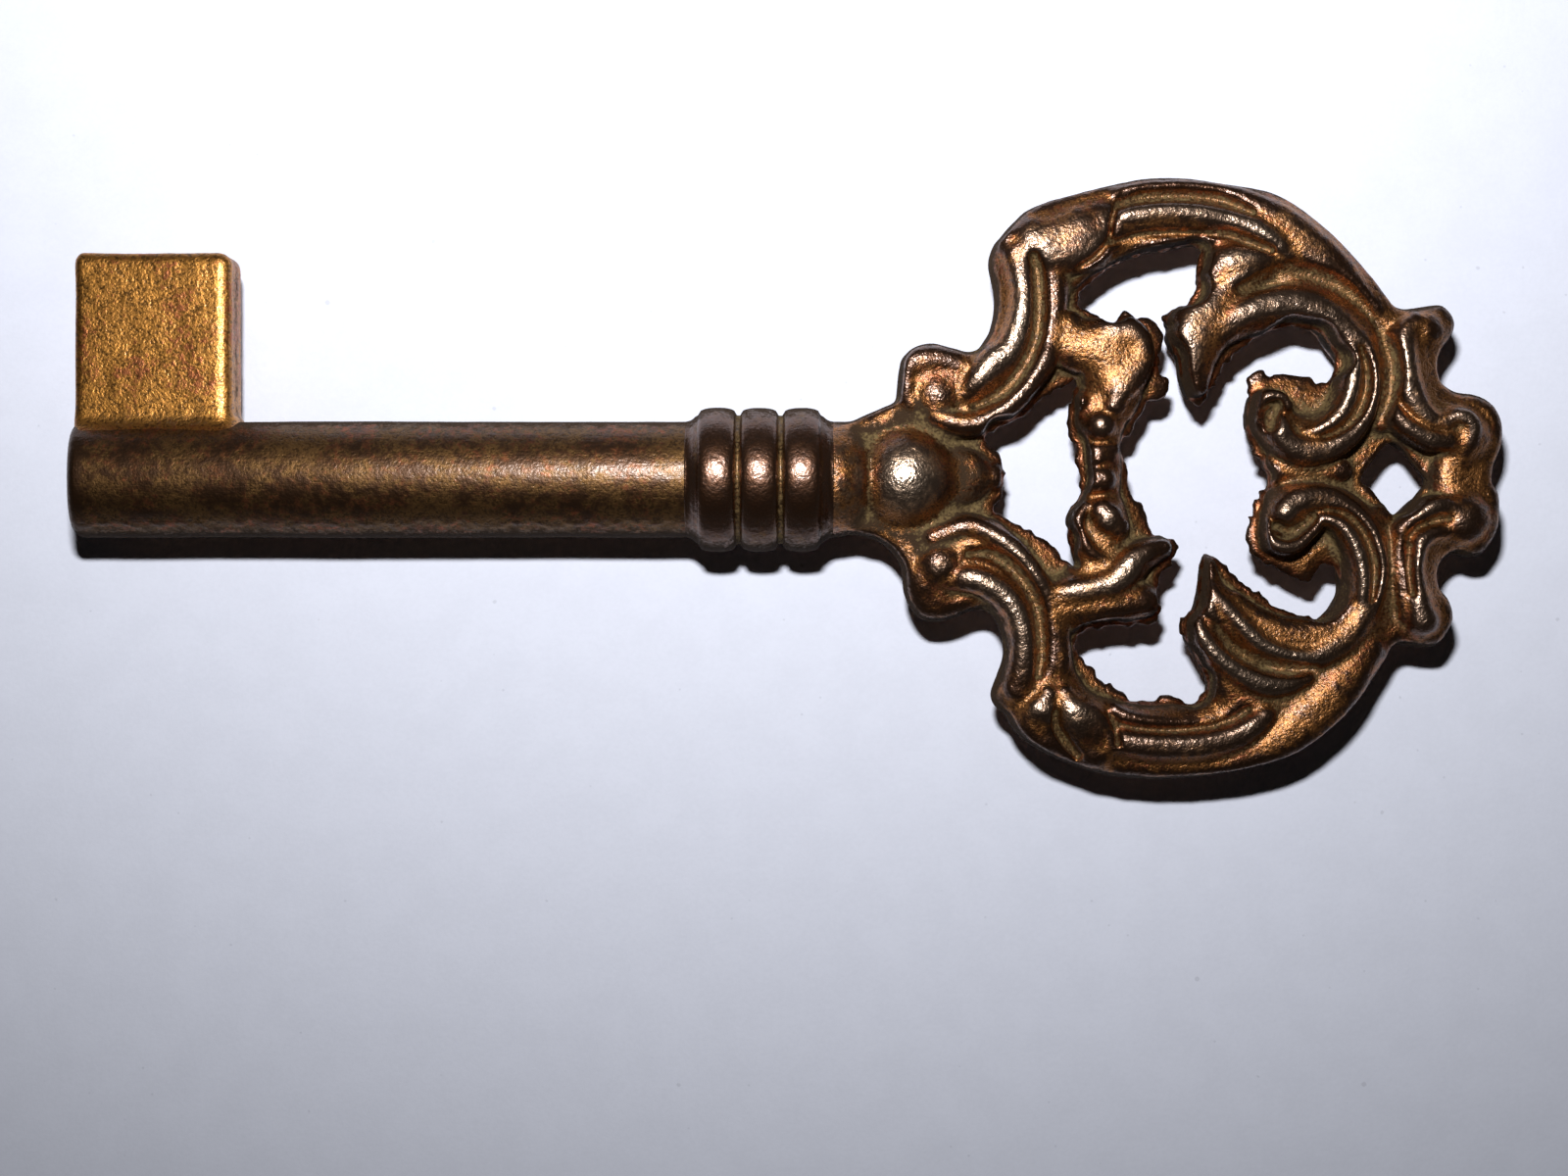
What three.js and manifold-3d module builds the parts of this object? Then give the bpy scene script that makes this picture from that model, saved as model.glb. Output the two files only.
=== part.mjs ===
// Barrel key: a hollow round shank with an uncut rectangular bit, a beaded collar and a cast openwork bow.
// Millimetres. +X runs from the bit end to the bow, +Y is the bit's side and +Z is up.
// The key lies on its side, and its origin is on the surface below the middle of its outline.

import * as THREE from 'three';
import { mergeVertices } from 'three/addons/utils/BufferGeometryUtils.js';
import Module from 'manifold-3d';

const wasm = await Module();
wasm.setup();

// Shank, a barrel that is hollow from the bit end
const barrelDiameter = 6.35;
const shankLength = 33.4;
const barrelEdgeChamfer = 0.25;
const boreDiameter = 4;
const boreDepth = 22;
const boreConeDepth = 1.1;

// Bit, an uncut plate with a thinner root that sits in a slot in the barrel's wall
const bitWidth = 8.4;
const bitReach = 12.3;
const bitThickness = 2.7;
const bitInset = 0.15;
const bitRim = 0.4;
const bitCornerRadius = 0.6;
const bitRootFlare = 0.35;
const bitRootInset = 0.8;
const bitRootThickness = 2.1;

// Collar, a turned sleeve over the joint of shank and bow
const collarLength = 8;
const collarBeadCount = 3;
const collarBeadDiameter = 7.9;
const collarGrooveDiameter = 7.35;
const collarGrooveWidth = 0.65;
const collarLip = 0.6;
const collarLipDiameter = 6.95;

// Joint inside the collar: the bow's tenon in the barrel's socket, with a cross pin
const barrelEngagement = 5.4;
const tenonDiameter = 3.2;
const tenonLength = 4.4;
const tenonEndClearance = 0.3;
const pinDiameter = 1.3;
const pinRecess = 0.12;
const fitClearance = 0.1;

// Bow, cast in one with its neck and ball boss
const neckLength = 4.6;
const neckWaistDiameter = 6.2;
const neckCreaseDiameter = 4.6;
const ballDiameter = 5.8;
const bowReach = 32;
const bowHalfWidth = 16.4;
const reliefHeight = 2.3;
const webHalfThickness = 0.5;

// One overrun for every cut that has to pass a face
const cutOverrun = 0.5;

// Facets of the round parts
const turnedSegments = 32;
const pinSegments = 16;
const beadSteps = 4;
const cornerSteps = 3;
const bevelSteps = 2;
const ballSteps = 7;
const bossDetail = 1;

// Place of the neck's narrowest point, as a share of its length
const neckWaistShare = 0.2;

const barrelRadius = barrelDiameter / 2;
const boreRadius = boreDiameter / 2;
const tenonRadius = tenonDiameter / 2;
const ballRadius = ballDiameter / 2;
const collarEnd = shankLength + collarLength;
const barrelEnd = shankLength + barrelEngagement;
const ballCentre = collarEnd + neckLength;
const beadWidth = (collarLength - 2 * collarLip - (collarBeadCount - 1) * collarGrooveWidth) / collarBeadCount;
const beadPitch = beadWidth + collarGrooveWidth;
const pinPlace = shankLength + collarLip + (beadPitch * (collarBeadCount - 1) + beadWidth) / 2;

// Outline of the bow and of its openings, as shares of its reach from the ball's centre and of its half width
const bowOutlineShares = [
  [-0.123, 0.192], [-0.089, 0.212], [-0.062, 0.235], [-0.037, 0.258], [-0.032, 0.3], [-0.027, 0.386],
  [-0.017, 0.419], [0, 0.442], [0.029, 0.452], [0.062, 0.435], [0.087, 0.422], [0.106, 0.432],
  [0.119, 0.468], [0.128, 0.504], [0.134, 0.563], [0.134, 0.622], [0.129, 0.668], [0.124, 0.721],
  [0.131, 0.777], [0.146, 0.813], [0.166, 0.856], [0.188, 0.895], [0.217, 0.921], [0.247, 0.938],
  [0.314, 0.97], [0.387, 1], [0.449, 1.003], [0.516, 0.987], [0.583, 0.967], [0.617, 0.947],
  [0.65, 0.911], [0.692, 0.846], [0.734, 0.767], [0.771, 0.685], [0.798, 0.612], [0.812, 0.58],
  [0.832, 0.567], [0.864, 0.573], [0.894, 0.58], [0.911, 0.553], [0.918, 0.514], [0.911, 0.471],
  [0.896, 0.432], [0.889, 0.376], [0.896, 0.323], [0.919, 0.291], [0.953, 0.281], [0.978, 0.258],
  [0.993, 0.218], [1, 0.163], [0.997, 0.103], [0.985, 0.044], [0.982, -0.008], [0.992, -0.044],
  [0.995, -0.1], [0.992, -0.166], [0.978, -0.218], [0.96, -0.251], [0.939, -0.255], [0.919, -0.245],
  [0.901, -0.264], [0.889, -0.3], [0.891, -0.356], [0.909, -0.406], [0.916, -0.455], [0.908, -0.504],
  [0.886, -0.553], [0.852, -0.557], [0.817, -0.55], [0.798, -0.612], [0.776, -0.675], [0.748, -0.747],
  [0.711, -0.819], [0.667, -0.888], [0.62, -0.934], [0.55, -0.97], [0.482, -0.99], [0.415, -0.997],
  [0.348, -0.99], [0.284, -0.961], [0.23, -0.921], [0.187, -0.872], [0.165, -0.826], [0.153, -0.783],
  [0.134, -0.75], [0.129, -0.711], [0.141, -0.649], [0.15, -0.586], [0.146, -0.521], [0.134, -0.465],
  [0.118, -0.435], [0.096, -0.435], [0.071, -0.455], [0.042, -0.471], [0.012, -0.468], [-0.007, -0.435],
  [-0.02, -0.379], [-0.025, -0.291], [-0.045, -0.235], [-0.072, -0.199], [-0.103, -0.192],
];
const lowOpeningShares = [
  [0.118, 0.14], [0.15, 0.176], [0.18, 0.212], [0.213, 0.261], [0.247, 0.31], [0.276, 0.327],
  [0.262, 0.245], [0.257, 0.195], [0.261, 0.153], [0.272, 0.113], [0.276, 0.048], [0.279, -0.025],
  [0.281, -0.061], [0.262, -0.097], [0.257, -0.133], [0.261, -0.209], [0.272, -0.287], [0.252, -0.264],
  [0.227, -0.218], [0.197, -0.176], [0.166, -0.14], [0.134, -0.103], [0.145, -0.051], [0.15, 0.015],
  [0.139, 0.084],
];
const centralOpeningShares = [
  [0.276, 0.596], [0.292, 0.645], [0.319, 0.688], [0.348, 0.727], [0.382, 0.754], [0.427, 0.77],
  [0.461, 0.78], [0.486, 0.767], [0.484, 0.721], [0.477, 0.675], [0.482, 0.642], [0.477, 0.612],
  [0.457, 0.58], [0.432, 0.56], [0.422, 0.534], [0.432, 0.511], [0.43, 0.481], [0.444, 0.419],
  [0.455, 0.333], [0.466, 0.274], [0.482, 0.245], [0.499, 0.268], [0.513, 0.333], [0.528, 0.383],
  [0.553, 0.429], [0.583, 0.475], [0.617, 0.501], [0.654, 0.504], [0.687, 0.488], [0.711, 0.432],
  [0.718, 0.376], [0.709, 0.333], [0.692, 0.32], [0.667, 0.346], [0.617, 0.356], [0.605, 0.346],
  [0.597, 0.369], [0.58, 0.363], [0.568, 0.327], [0.571, 0.281], [0.566, 0.212], [0.568, 0.14],
  [0.583, 0.074], [0.607, 0.008], [0.587, -0.051], [0.573, -0.117], [0.568, -0.192], [0.578, -0.248],
  [0.605, -0.291], [0.637, -0.317], [0.662, -0.343], [0.681, -0.33], [0.697, -0.287], [0.714, -0.287],
  [0.726, -0.337], [0.726, -0.383], [0.713, -0.432], [0.687, -0.468], [0.661, -0.455], [0.617, -0.422],
  [0.583, -0.376], [0.553, -0.34], [0.533, -0.291], [0.504, -0.248], [0.491, -0.264], [0.484, -0.346],
  [0.477, -0.415], [0.461, -0.445], [0.45, -0.478], [0.457, -0.527], [0.477, -0.586], [0.496, -0.658],
  [0.492, -0.718], [0.476, -0.75], [0.455, -0.737], [0.437, -0.718], [0.415, -0.731], [0.39, -0.744],
  [0.365, -0.734], [0.339, -0.695], [0.314, -0.658], [0.292, -0.612], [0.274, -0.567], [0.281, -0.517],
  [0.323, -0.494], [0.373, -0.484], [0.408, -0.478], [0.418, -0.435], [0.41, -0.383], [0.422, -0.314],
  [0.445, -0.255], [0.444, -0.205], [0.42, -0.189], [0.4, -0.169], [0.387, -0.094], [0.368, -0.044],
  [0.363, 0.008], [0.361, 0.067], [0.348, 0.103], [0.361, 0.143], [0.378, 0.192], [0.388, 0.215],
  [0.393, 0.258], [0.415, 0.268], [0.434, 0.3], [0.432, 0.337], [0.415, 0.369], [0.417, 0.425],
  [0.422, 0.488], [0.403, 0.53], [0.376, 0.54], [0.361, 0.567], [0.345, 0.53], [0.321, 0.527],
  [0.308, 0.557], [0.287, 0.567],
];
const crestOpeningShares = [
  [0.76, -0.002], [0.778, 0.057], [0.798, 0.107], [0.815, 0.123], [0.832, 0.1], [0.852, 0.048],
  [0.874, -0.005], [0.861, -0.041], [0.839, -0.094], [0.815, -0.12], [0.797, -0.084], [0.778, -0.034],
];

// Bars of the casting: each row is place along and across, half width and half height, as shares of the
// bow's reach, of its half width twice, and of the relief's height
const bodyShares = {
  upperArm: [
    [0.01, 0.332, 0.085, 0.62], [0.089, 0.312, 0.11, 0.62], [0.131, 0.322, 0.118, 0.62],
    [0.163, 0.396, 0.118, 0.62], [0.185, 0.485, 0.12, 0.62], [0.212, 0.763, 0.14, 0.62],
  ],
  upperShoulder: [
    [-0.119, 0.079, 0.11, 0.62], [-0.059, 0.129, 0.11, 0.62], [0, 0.208, 0.1, 0.62],
  ],
  lowerShoulder: [
    [-0.119, -0.079, 0.11, 0.62], [0, -0.198, 0.1, 0.62],
  ],
  upperSaddle: [
    [0, 0.188, 0.07, 0.62], [0.119, 0.233, 0.07, 0.62],
  ],
  lowerSaddle: [
    [0, -0.188, 0.07, 0.62], [0.059, -0.178, 0.07, 0.62], [0.119, -0.198, 0.07, 0.62],
  ],
  topArch: [
    [0.183, 0.793, 0.085, 0.62], [0.222, 0.812, 0.11, 0.65], [0.267, 0.808, 0.135, 0.65],
    [0.375, 0.867, 0.112, 0.6], [0.494, 0.862, 0.112, 0.6], [0.612, 0.773, 0.135, 0.6],
    [0.667, 0.708, 0.13, 0.6], [0.709, 0.614, 0.125, 0.6], [0.741, 0.495, 0.105, 0.6],
    [0.753, 0.377, 0.088, 0.6], [0.749, 0.277, 0.085, 0.6], [0.726, 0.188, 0.085, 0.6],
    [0.682, 0.139, 0.08, 0.6], [0.632, 0.144, 0.085, 0.6], [0.601, 0.198, 0.075, 0.6],
  ],
  upperLeaf: [
    [0.477, 0.307, 0.035, 0.62], [0.494, 0.495, 0.085, 0.7], [0.519, 0.594, 0.105, 0.68],
    [0.553, 0.753, 0.1, 0.62],
  ],
  upperInnerScroll: [
    [0.524, 0.515, 0.07, 0.66], [0.573, 0.55, 0.075, 0.68], [0.632, 0.565, 0.085, 0.68],
    [0.692, 0.525, 0.09, 0.66], [0.731, 0.436, 0.08, 0.62],
  ],
  leftLeaf: [
    [0.212, 0.476, 0.085, 0.6], [0.306, 0.436, 0.085, 0.7], [0.356, 0.431, 0.07, 0.66],
  ],
  link: [
    [0.316, 0.426, 0.09, 0.66], [0.331, 0.357, 0.115, 0.66], [0.331, 0.287, 0.105, 0.62],
    [0.314, 0.213, 0.095, 0.6], [0.311, 0.129, 0.075, 0.55], [0.312, -0.059, 0.072, 0.5],
    [0.316, -0.139, 0.09, 0.58], [0.306, -0.327, 0.105, 0.62],
  ],
  lowerLeaf: [
    [0.212, -0.436, 0.09, 0.6], [0.257, -0.411, 0.1, 0.64], [0.306, -0.401, 0.095, 0.66],
    [0.385, -0.406, 0.06, 0.58],
  ],
  lowerLeafTip: [
    [0.316, -0.337, 0.08, 0.64], [0.38, -0.258, 0.06, 0.6], [0.415, -0.23, 0.04, 0.5],
  ],
  lowerArm: [
    [0.015, -0.332, 0.08, 0.6], [0.094, -0.258, 0.105, 0.62], [0.133, -0.272, 0.105, 0.62],
    [0.188, -0.426, 0.108, 0.62], [0.202, -0.525, 0.112, 0.62], [0.212, -0.694, 0.135, 0.62],
    [0.232, -0.783, 0.14, 0.64],
  ],
  bottomArch: [
    [0.188, -0.763, 0.08, 0.6], [0.227, -0.803, 0.12, 0.64], [0.336, -0.857, 0.12, 0.6],
    [0.454, -0.867, 0.118, 0.6], [0.514, -0.852, 0.12, 0.6], [0.573, -0.812, 0.135, 0.6],
    [0.632, -0.743, 0.145, 0.6], [0.687, -0.654, 0.14, 0.6], [0.731, -0.545, 0.12, 0.6],
    [0.759, -0.426, 0.1, 0.6], [0.769, -0.307, 0.09, 0.6], [0.759, -0.198, 0.085, 0.6],
    [0.726, -0.119, 0.08, 0.6], [0.682, -0.084, 0.08, 0.6], [0.632, -0.099, 0.085, 0.6],
    [0.605, -0.159, 0.07, 0.6],
  ],
  lowerRightLeaf: [
    [0.491, -0.297, 0.04, 0.5], [0.499, -0.446, 0.085, 0.68], [0.533, -0.634, 0.11, 0.68],
    [0.558, -0.723, 0.11, 0.64],
  ],
  lowerInnerScroll: [
    [0.514, -0.416, 0.06, 0.66], [0.553, -0.485, 0.075, 0.68], [0.603, -0.535, 0.08, 0.68],
    [0.662, -0.555, 0.085, 0.68], [0.711, -0.515, 0.085, 0.66], [0.741, -0.436, 0.08, 0.62],
  ],
  crestUpper: [
    [0.869, 0.485, 0.06, 0.6], [0.84, 0.446, 0.07, 0.62], [0.83, 0.367, 0.078, 0.62],
    [0.838, 0.277, 0.08, 0.62], [0.867, 0.203, 0.082, 0.62], [0.934, 0.129, 0.08, 0.66],
  ],
  crestLower: [
    [0.934, -0.129, 0.085, 0.66], [0.889, -0.144, 0.085, 0.62], [0.855, -0.198, 0.08, 0.62],
    [0.842, -0.287, 0.075, 0.62], [0.845, -0.377, 0.075, 0.62], [0.859, -0.456, 0.065, 0.6],
  ],
  crestWaist: [
    [0.924, 0.109, 0.07, 0.55], [0.914, 0, 0.085, 0.48], [0.924, -0.109, 0.07, 0.55],
  ],
  crestRootUpper: [
    [0.766, 0.594, 0.07, 0.45], [0.795, 0.485, 0.06, 0.42], [0.795, 0.238, 0.055, 0.42],
    [0.79, 0.188, 0.04, 0.4],
  ],
  crestRootLower: [
    [0.79, -0.129, 0.045, 0.4], [0.802, -0.228, 0.05, 0.42], [0.802, -0.456, 0.055, 0.42],
    [0.81, -0.515, 0.04, 0.4],
  ],
  voluteWaist: [
    [0.603, 0.03, 0.045, 0.42], [0.721, 0.03, 0.045, 0.42],
  ],
  ballLeaf: [
    [0.069, 0.01, 0.11, 0.5], [0.126, 0.01, 0.05, 0.3],
  ],
};

// Ribs that stand on the bars, in the same shares
const ribShares = {
  upperArmOuter: [
    [0.079, 0.282, 0.03, 0.8], [0.123, 0.381, 0.045, 1], [0.161, 0.515, 0.045, 0.98],
    [0.166, 0.743, 0.04, 0.86],
  ],
  upperArmInner: [
    [0.059, 0.193, 0.03, 0.8], [0.138, 0.218, 0.028, 0.88], [0.168, 0.269, 0.028, 0.88],
    [0.212, 0.396, 0.03, 0.84], [0.227, 0.476, 0.032, 0.8], [0.232, 0.694, 0.036, 0.8],
  ],
  upperEyeRim: [
    [0.084, 0.367, 0.03, 0.7], [0.025, 0.388, 0.034, 0.76], [0, 0.369, 0.034, 0.76],
    [-0.012, 0.327, 0.032, 0.74], [-0.008, 0.277, 0.03, 0.72], [0.059, 0.198, 0.032, 0.82],
  ],
  topSheath: [
    [0.178, 0.783, 0.055, 0.9], [0.252, 0.798, 0.085, 1], [0.321, 0.837, 0.08, 0.95],
  ],
  topArchRib: [
    [0.331, 0.854, 0.035, 0.92], [0.445, 0.886, 0.035, 0.97], [0.524, 0.862, 0.035, 0.97],
    [0.598, 0.798, 0.04, 1], [0.627, 0.748, 0.036, 0.95],
  ],
  topOuterLip: [
    [0.341, 0.941, 0.028, 0.74], [0.385, 0.959, 0.026, 0.74], [0.533, 0.941, 0.026, 0.74],
    [0.632, 0.852, 0.032, 0.8], [0.682, 0.778, 0.035, 0.8], [0.756, 0.604, 0.032, 0.72],
  ],
  upperLeafLobe: [
    [0.504, 0.694, 0.05, 0.85], [0.538, 0.713, 0.058, 0.98], [0.578, 0.718, 0.05, 0.96],
    [0.617, 0.699, 0.04, 0.8],
  ],
  snout: [
    [0.478, 0.307, 0.034, 0.8], [0.481, 0.436, 0.048, 1], [0.492, 0.515, 0.06, 1],
    [0.538, 0.624, 0.05, 0.88],
  ],
  upperScrollRidge: [
    [0.514, 0.5, 0.04, 0.86], [0.578, 0.583, 0.042, 0.98], [0.617, 0.602, 0.044, 1],
    [0.696, 0.56, 0.045, 0.94], [0.756, 0.436, 0.034, 0.92], [0.773, 0.307, 0.03, 0.95],
    [0.741, 0.178, 0.034, 0.95], [0.672, 0.111, 0.036, 0.94], [0.612, 0.168, 0.034, 0.94],
    [0.601, 0.208, 0.03, 0.85],
  ],
  upperVoluteCurl: [
    [0.565, 0.163, 0.026, 0.78], [0.583, 0.253, 0.03, 0.88], [0.605, 0.273, 0.03, 0.92],
    [0.633, 0.236, 0.024, 0.86],
  ],
  leftLeafRidge: [
    [0.232, 0.441, 0.035, 0.8], [0.346, 0.446, 0.048, 1], [0.373, 0.347, 0.042, 1],
    [0.366, 0.297, 0.04, 0.95], [0.348, 0.263, 0.034, 0.85],
  ],
  linkUpperRim: [
    [0.275, 0.243, 0.024, 0.75], [0.261, 0.193, 0.024, 0.75], [0.269, 0.144, 0.024, 0.72],
  ],
  linkLowerRim: [
    [0.286, -0.109, 0.022, 0.74], [0.278, -0.149, 0.024, 0.76], [0.301, -0.243, 0.022, 0.74],
  ],
  lowerLeafRidge: [
    [0.232, -0.381, 0.035, 0.84], [0.341, -0.327, 0.05, 1], [0.38, -0.248, 0.036, 0.92],
    [0.41, -0.234, 0.026, 0.75],
  ],
  lowerArmOuter: [
    [0.061, -0.315, 0.03, 0.84], [0.084, -0.305, 0.034, 0.95], [0.114, -0.325, 0.038, 0.98],
    [0.163, -0.406, 0.04, 0.98], [0.185, -0.525, 0.04, 0.94], [0.176, -0.664, 0.036, 0.84],
  ],
  lowerArmInner: [
    [0.059, -0.163, 0.028, 0.8], [0.099, -0.157, 0.028, 0.84], [0.17, -0.228, 0.028, 0.96],
    [0.215, -0.357, 0.028, 0.96], [0.229, -0.426, 0.028, 0.84], [0.24, -0.614, 0.03, 0.74],
  ],
  lowerEyeRim: [
    [0.084, -0.396, 0.03, 0.6], [0.049, -0.416, 0.035, 0.62], [0.02, -0.406, 0.035, 0.64],
    [0, -0.367, 0.034, 0.66], [-0.004, -0.268, 0.03, 0.7], [0.044, -0.198, 0.032, 0.82],
  ],
  bottomSheath: [
    [0.242, -0.728, 0.045, 0.88], [0.269, -0.758, 0.062, 1], [0.326, -0.805, 0.06, 0.9],
  ],
  bottomArchRib: [
    [0.341, -0.838, 0.034, 0.92], [0.474, -0.847, 0.034, 0.95], [0.524, -0.828, 0.036, 0.97],
    [0.583, -0.765, 0.034, 0.92],
  ],
  bottomOuterLip: [
    [0.346, -0.946, 0.026, 0.7], [0.464, -0.959, 0.026, 0.7], [0.583, -0.897, 0.03, 0.72],
    [0.696, -0.728, 0.036, 0.78], [0.771, -0.495, 0.034, 0.76],
  ],
  lowerLeafOuterRib: [
    [0.476, -0.466, 0.03, 0.88], [0.541, -0.629, 0.038, 1], [0.578, -0.674, 0.042, 1],
    [0.617, -0.679, 0.042, 0.98], [0.652, -0.649, 0.034, 0.88],
  ],
  lowerScrollRidge: [
    [0.509, -0.391, 0.034, 0.9], [0.583, -0.54, 0.038, 1], [0.627, -0.575, 0.042, 1],
    [0.677, -0.575, 0.044, 0.96], [0.716, -0.53, 0.042, 0.92], [0.756, -0.396, 0.03, 0.98],
    [0.755, -0.263, 0.03, 1], [0.719, -0.154, 0.03, 0.95], [0.692, -0.127, 0.028, 0.92],
  ],
  lowerScrollOuter: [
    [0.776, -0.426, 0.026, 0.84], [0.788, -0.287, 0.028, 0.92], [0.771, -0.163, 0.03, 0.9],
    [0.749, -0.104, 0.032, 0.86], [0.677, -0.045, 0.036, 0.86], [0.637, -0.054, 0.04, 0.9],
    [0.605, -0.094, 0.04, 0.88],
  ],
  lowerVoluteCurl: [
    [0.59, -0.139, 0.024, 0.8], [0.61, -0.218, 0.028, 0.94], [0.632, -0.228, 0.028, 0.94],
    [0.667, -0.173, 0.022, 0.8],
  ],
  crestUpperMain: [
    [0.874, 0.51, 0.03, 0.84], [0.852, 0.53, 0.034, 0.88], [0.835, 0.49, 0.036, 0.95],
    [0.822, 0.367, 0.036, 0.98], [0.845, 0.243, 0.034, 0.98], [0.894, 0.174, 0.028, 0.92],
    [0.934, 0.198, 0.03, 0.95], [0.944, 0.163, 0.03, 0.95], [0.929, 0.074, 0.026, 0.8],
  ],
  crestUpperOuter: [
    [0.805, 0.243, 0.02, 0.8], [0.82, 0.198, 0.026, 0.92], [0.874, 0.122, 0.03, 0.95],
    [0.901, 0.121, 0.026, 0.9],
  ],
  crestLowerMain: [
    [0.924, -0.124, 0.032, 0.9], [0.914, -0.081, 0.03, 0.92], [0.894, -0.067, 0.03, 0.95],
    [0.826, -0.163, 0.024, 0.84], [0.816, -0.218, 0.022, 0.78], [0.826, -0.426, 0.022, 0.84],
  ],
  crestLowerInner: [
    [0.894, -0.168, 0.022, 0.84], [0.853, -0.203, 0.026, 0.95], [0.84, -0.317, 0.028, 0.96],
    [0.865, -0.464, 0.036, 0.95],
  ],
};

// Round bosses: place along and across, radius and half height, in the same shares
const bossShares = {
  upperEye: [0.036, 0.292, 0.042, 0.92],
  lowerEye: [0.041, -0.26, 0.036, 0.92],
  linkUpperDome: [0.314, 0.183, 0.058, 0.92],
  linkLowerDome: [0.321, -0.124, 0.052, 0.92],
  lowerVoluteDome: [0.637, -0.087, 0.055, 0.96],
  crestTopKnob: [0.871, 0.485, 0.05, 0.8],
  crestUpperBall: [0.929, 0.134, 0.075, 0.8],
  crestLowerBall: [0.934, -0.134, 0.08, 0.86],
  crestBottomKnob: [0.864, -0.461, 0.055, 0.84],
};

// Upper half of the sections of bars and ribs, as shares of their half width and half height
const barSectionShares = [[1, 0], [0.66, 1], [-0.66, 1]];
const ribSectionShares = [[1, 0], [0.45, 1], [-0.45, 1]];

// How far a bar's pointed end runs past its last row, as a share of the half width there
const endTipShare = 0.6;

function solidFrom(geometry) {
  const plain = geometry.clone();
  plain.deleteAttribute('normal');
  plain.deleteAttribute('uv');
  const merged = mergeVertices(plain);
  const corners = merged.index.array;
  const triVerts = [];
  for (let i = 0; i < corners.length; i += 3) {
    const [a, b, c] = corners.slice(i, i + 3);
    if (a !== b && b !== c && c !== a) {
      triVerts.push(a, b, c);
    }
  }
  return new wasm.Manifold(new wasm.Mesh({
    numProp: 3,
    vertProperties: new Float32Array(merged.attributes.position.array),
    triVerts: new Uint32Array(triVerts),
  }));
}

function geometryFrom(solid) {
  const mesh = solid.getMesh();
  const geometry = new THREE.BufferGeometry();
  geometry.setAttribute('position', new THREE.BufferAttribute(mesh.vertProperties, 3));
  geometry.setIndex(new THREE.BufferAttribute(mesh.triVerts, 1));
  const facets = geometry.toNonIndexed();
  facets.computeVertexNormals();
  return facets;
}

function joined(solids) {
  return solids.reduce((whole, solid) => whole.add(solid));
}

// A profile of [place along X, radius] pairs turned about the key's axis
function turned(profile, segments = turnedSegments) {
  const points = profile.map(([along, radius]) => new THREE.Vector2(radius, along));
  const geometry = new THREE.LatheGeometry(points, segments);
  geometry.rotateZ(-Math.PI / 2);
  return solidFrom(geometry);
}

function barrelSolid() {
  const socketEnd = barrelEnd - tenonLength - tenonEndClearance;
  const socketRadius = tenonRadius + fitClearance;
  const body = turned([
    [boreDepth + boreConeDepth, 0],
    [boreDepth, boreRadius],
    [0, boreRadius],
    [0, barrelRadius - barrelEdgeChamfer],
    [barrelEdgeChamfer, barrelRadius],
    [barrelEnd, barrelRadius],
    [barrelEnd, socketRadius],
    [socketEnd, socketRadius],
    [socketEnd, 0],
  ]);
  const slot = bitRoot(0, barrelRadius + cutOverrun, fitClearance);
  return body.subtract(slot).subtract(pinHole());
}

// The bit's root, or with a clearance the slot that it sits in
function bitRoot(bottom, top, clearance) {
  const start = bitInset + bitRootInset - clearance;
  const end = bitInset + bitWidth - bitRootInset + clearance;
  const root = new THREE.BoxGeometry(end - start, top - bottom, bitRootThickness + 2 * clearance);
  root.translate((start + end) / 2, (top + bottom) / 2, 0);
  return solidFrom(root);
}

function pinHole() {
  const length = collarBeadDiameter + 2 * cutOverrun;
  const hole = new THREE.CylinderGeometry(
    pinDiameter / 2 + fitClearance, pinDiameter / 2 + fitClearance, length, pinSegments,
  );
  hole.translate(pinPlace, 0, 0);
  return solidFrom(hole);
}

function bitSolid() {
  const bottom = barrelRadius + fitClearance;
  const left = bitInset + bitRim;
  const right = bitInset + bitWidth - bitRim;
  const low = bottom + bitRim;
  const top = bitReach - bitRim;
  const corner = Math.max(bitCornerRadius - bitRim, 0);
  const outline = new THREE.Shape();
  outline.moveTo(left, low);
  outline.lineTo(right + bitRootFlare, low);
  outline.lineTo(right, low + bitRootFlare);
  outline.absarc(right - corner, top - corner, corner, 0, Math.PI / 2, false);
  outline.lineTo(left, top);
  outline.closePath();
  const plate = new THREE.ExtrudeGeometry(outline, {
    depth: bitThickness - 2 * bitRim,
    bevelThickness: bitRim,
    bevelSize: bitRim,
    bevelSegments: bevelSteps,
    curveSegments: cornerSteps,
  });
  plate.translate(0, 0, bitRim - bitThickness / 2);
  return solidFrom(plate).add(bitRoot(boreRadius + fitClearance, low + cutOverrun, 0));
}

function collarSolid() {
  const bore = barrelRadius + fitClearance;
  const lipRadius = collarLipDiameter / 2;
  const grooveRadius = collarGrooveDiameter / 2;
  const beadHeight = collarBeadDiameter / 2 - grooveRadius;
  const profile = [[shankLength, bore], [shankLength, lipRadius]];
  for (let bead = 0; bead < collarBeadCount; bead += 1) {
    const start = shankLength + collarLip + bead * beadPitch;
    for (let step = 0; step <= beadSteps; step += 1) {
      const share = step / beadSteps;
      profile.push([start + share * beadWidth, grooveRadius + beadHeight * Math.sin(Math.PI * share)]);
    }
  }
  profile.push([collarEnd, lipRadius], [collarEnd, bore], [shankLength, bore]);
  return turned(profile).subtract(pinHole());
}

function pinSolid() {
  const length = collarBeadDiameter - 2 * pinRecess;
  const pin = new THREE.CylinderGeometry(pinDiameter / 2, pinDiameter / 2, length, pinSegments);
  pin.translate(pinPlace, 0, 0);
  return solidFrom(pin);
}

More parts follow.
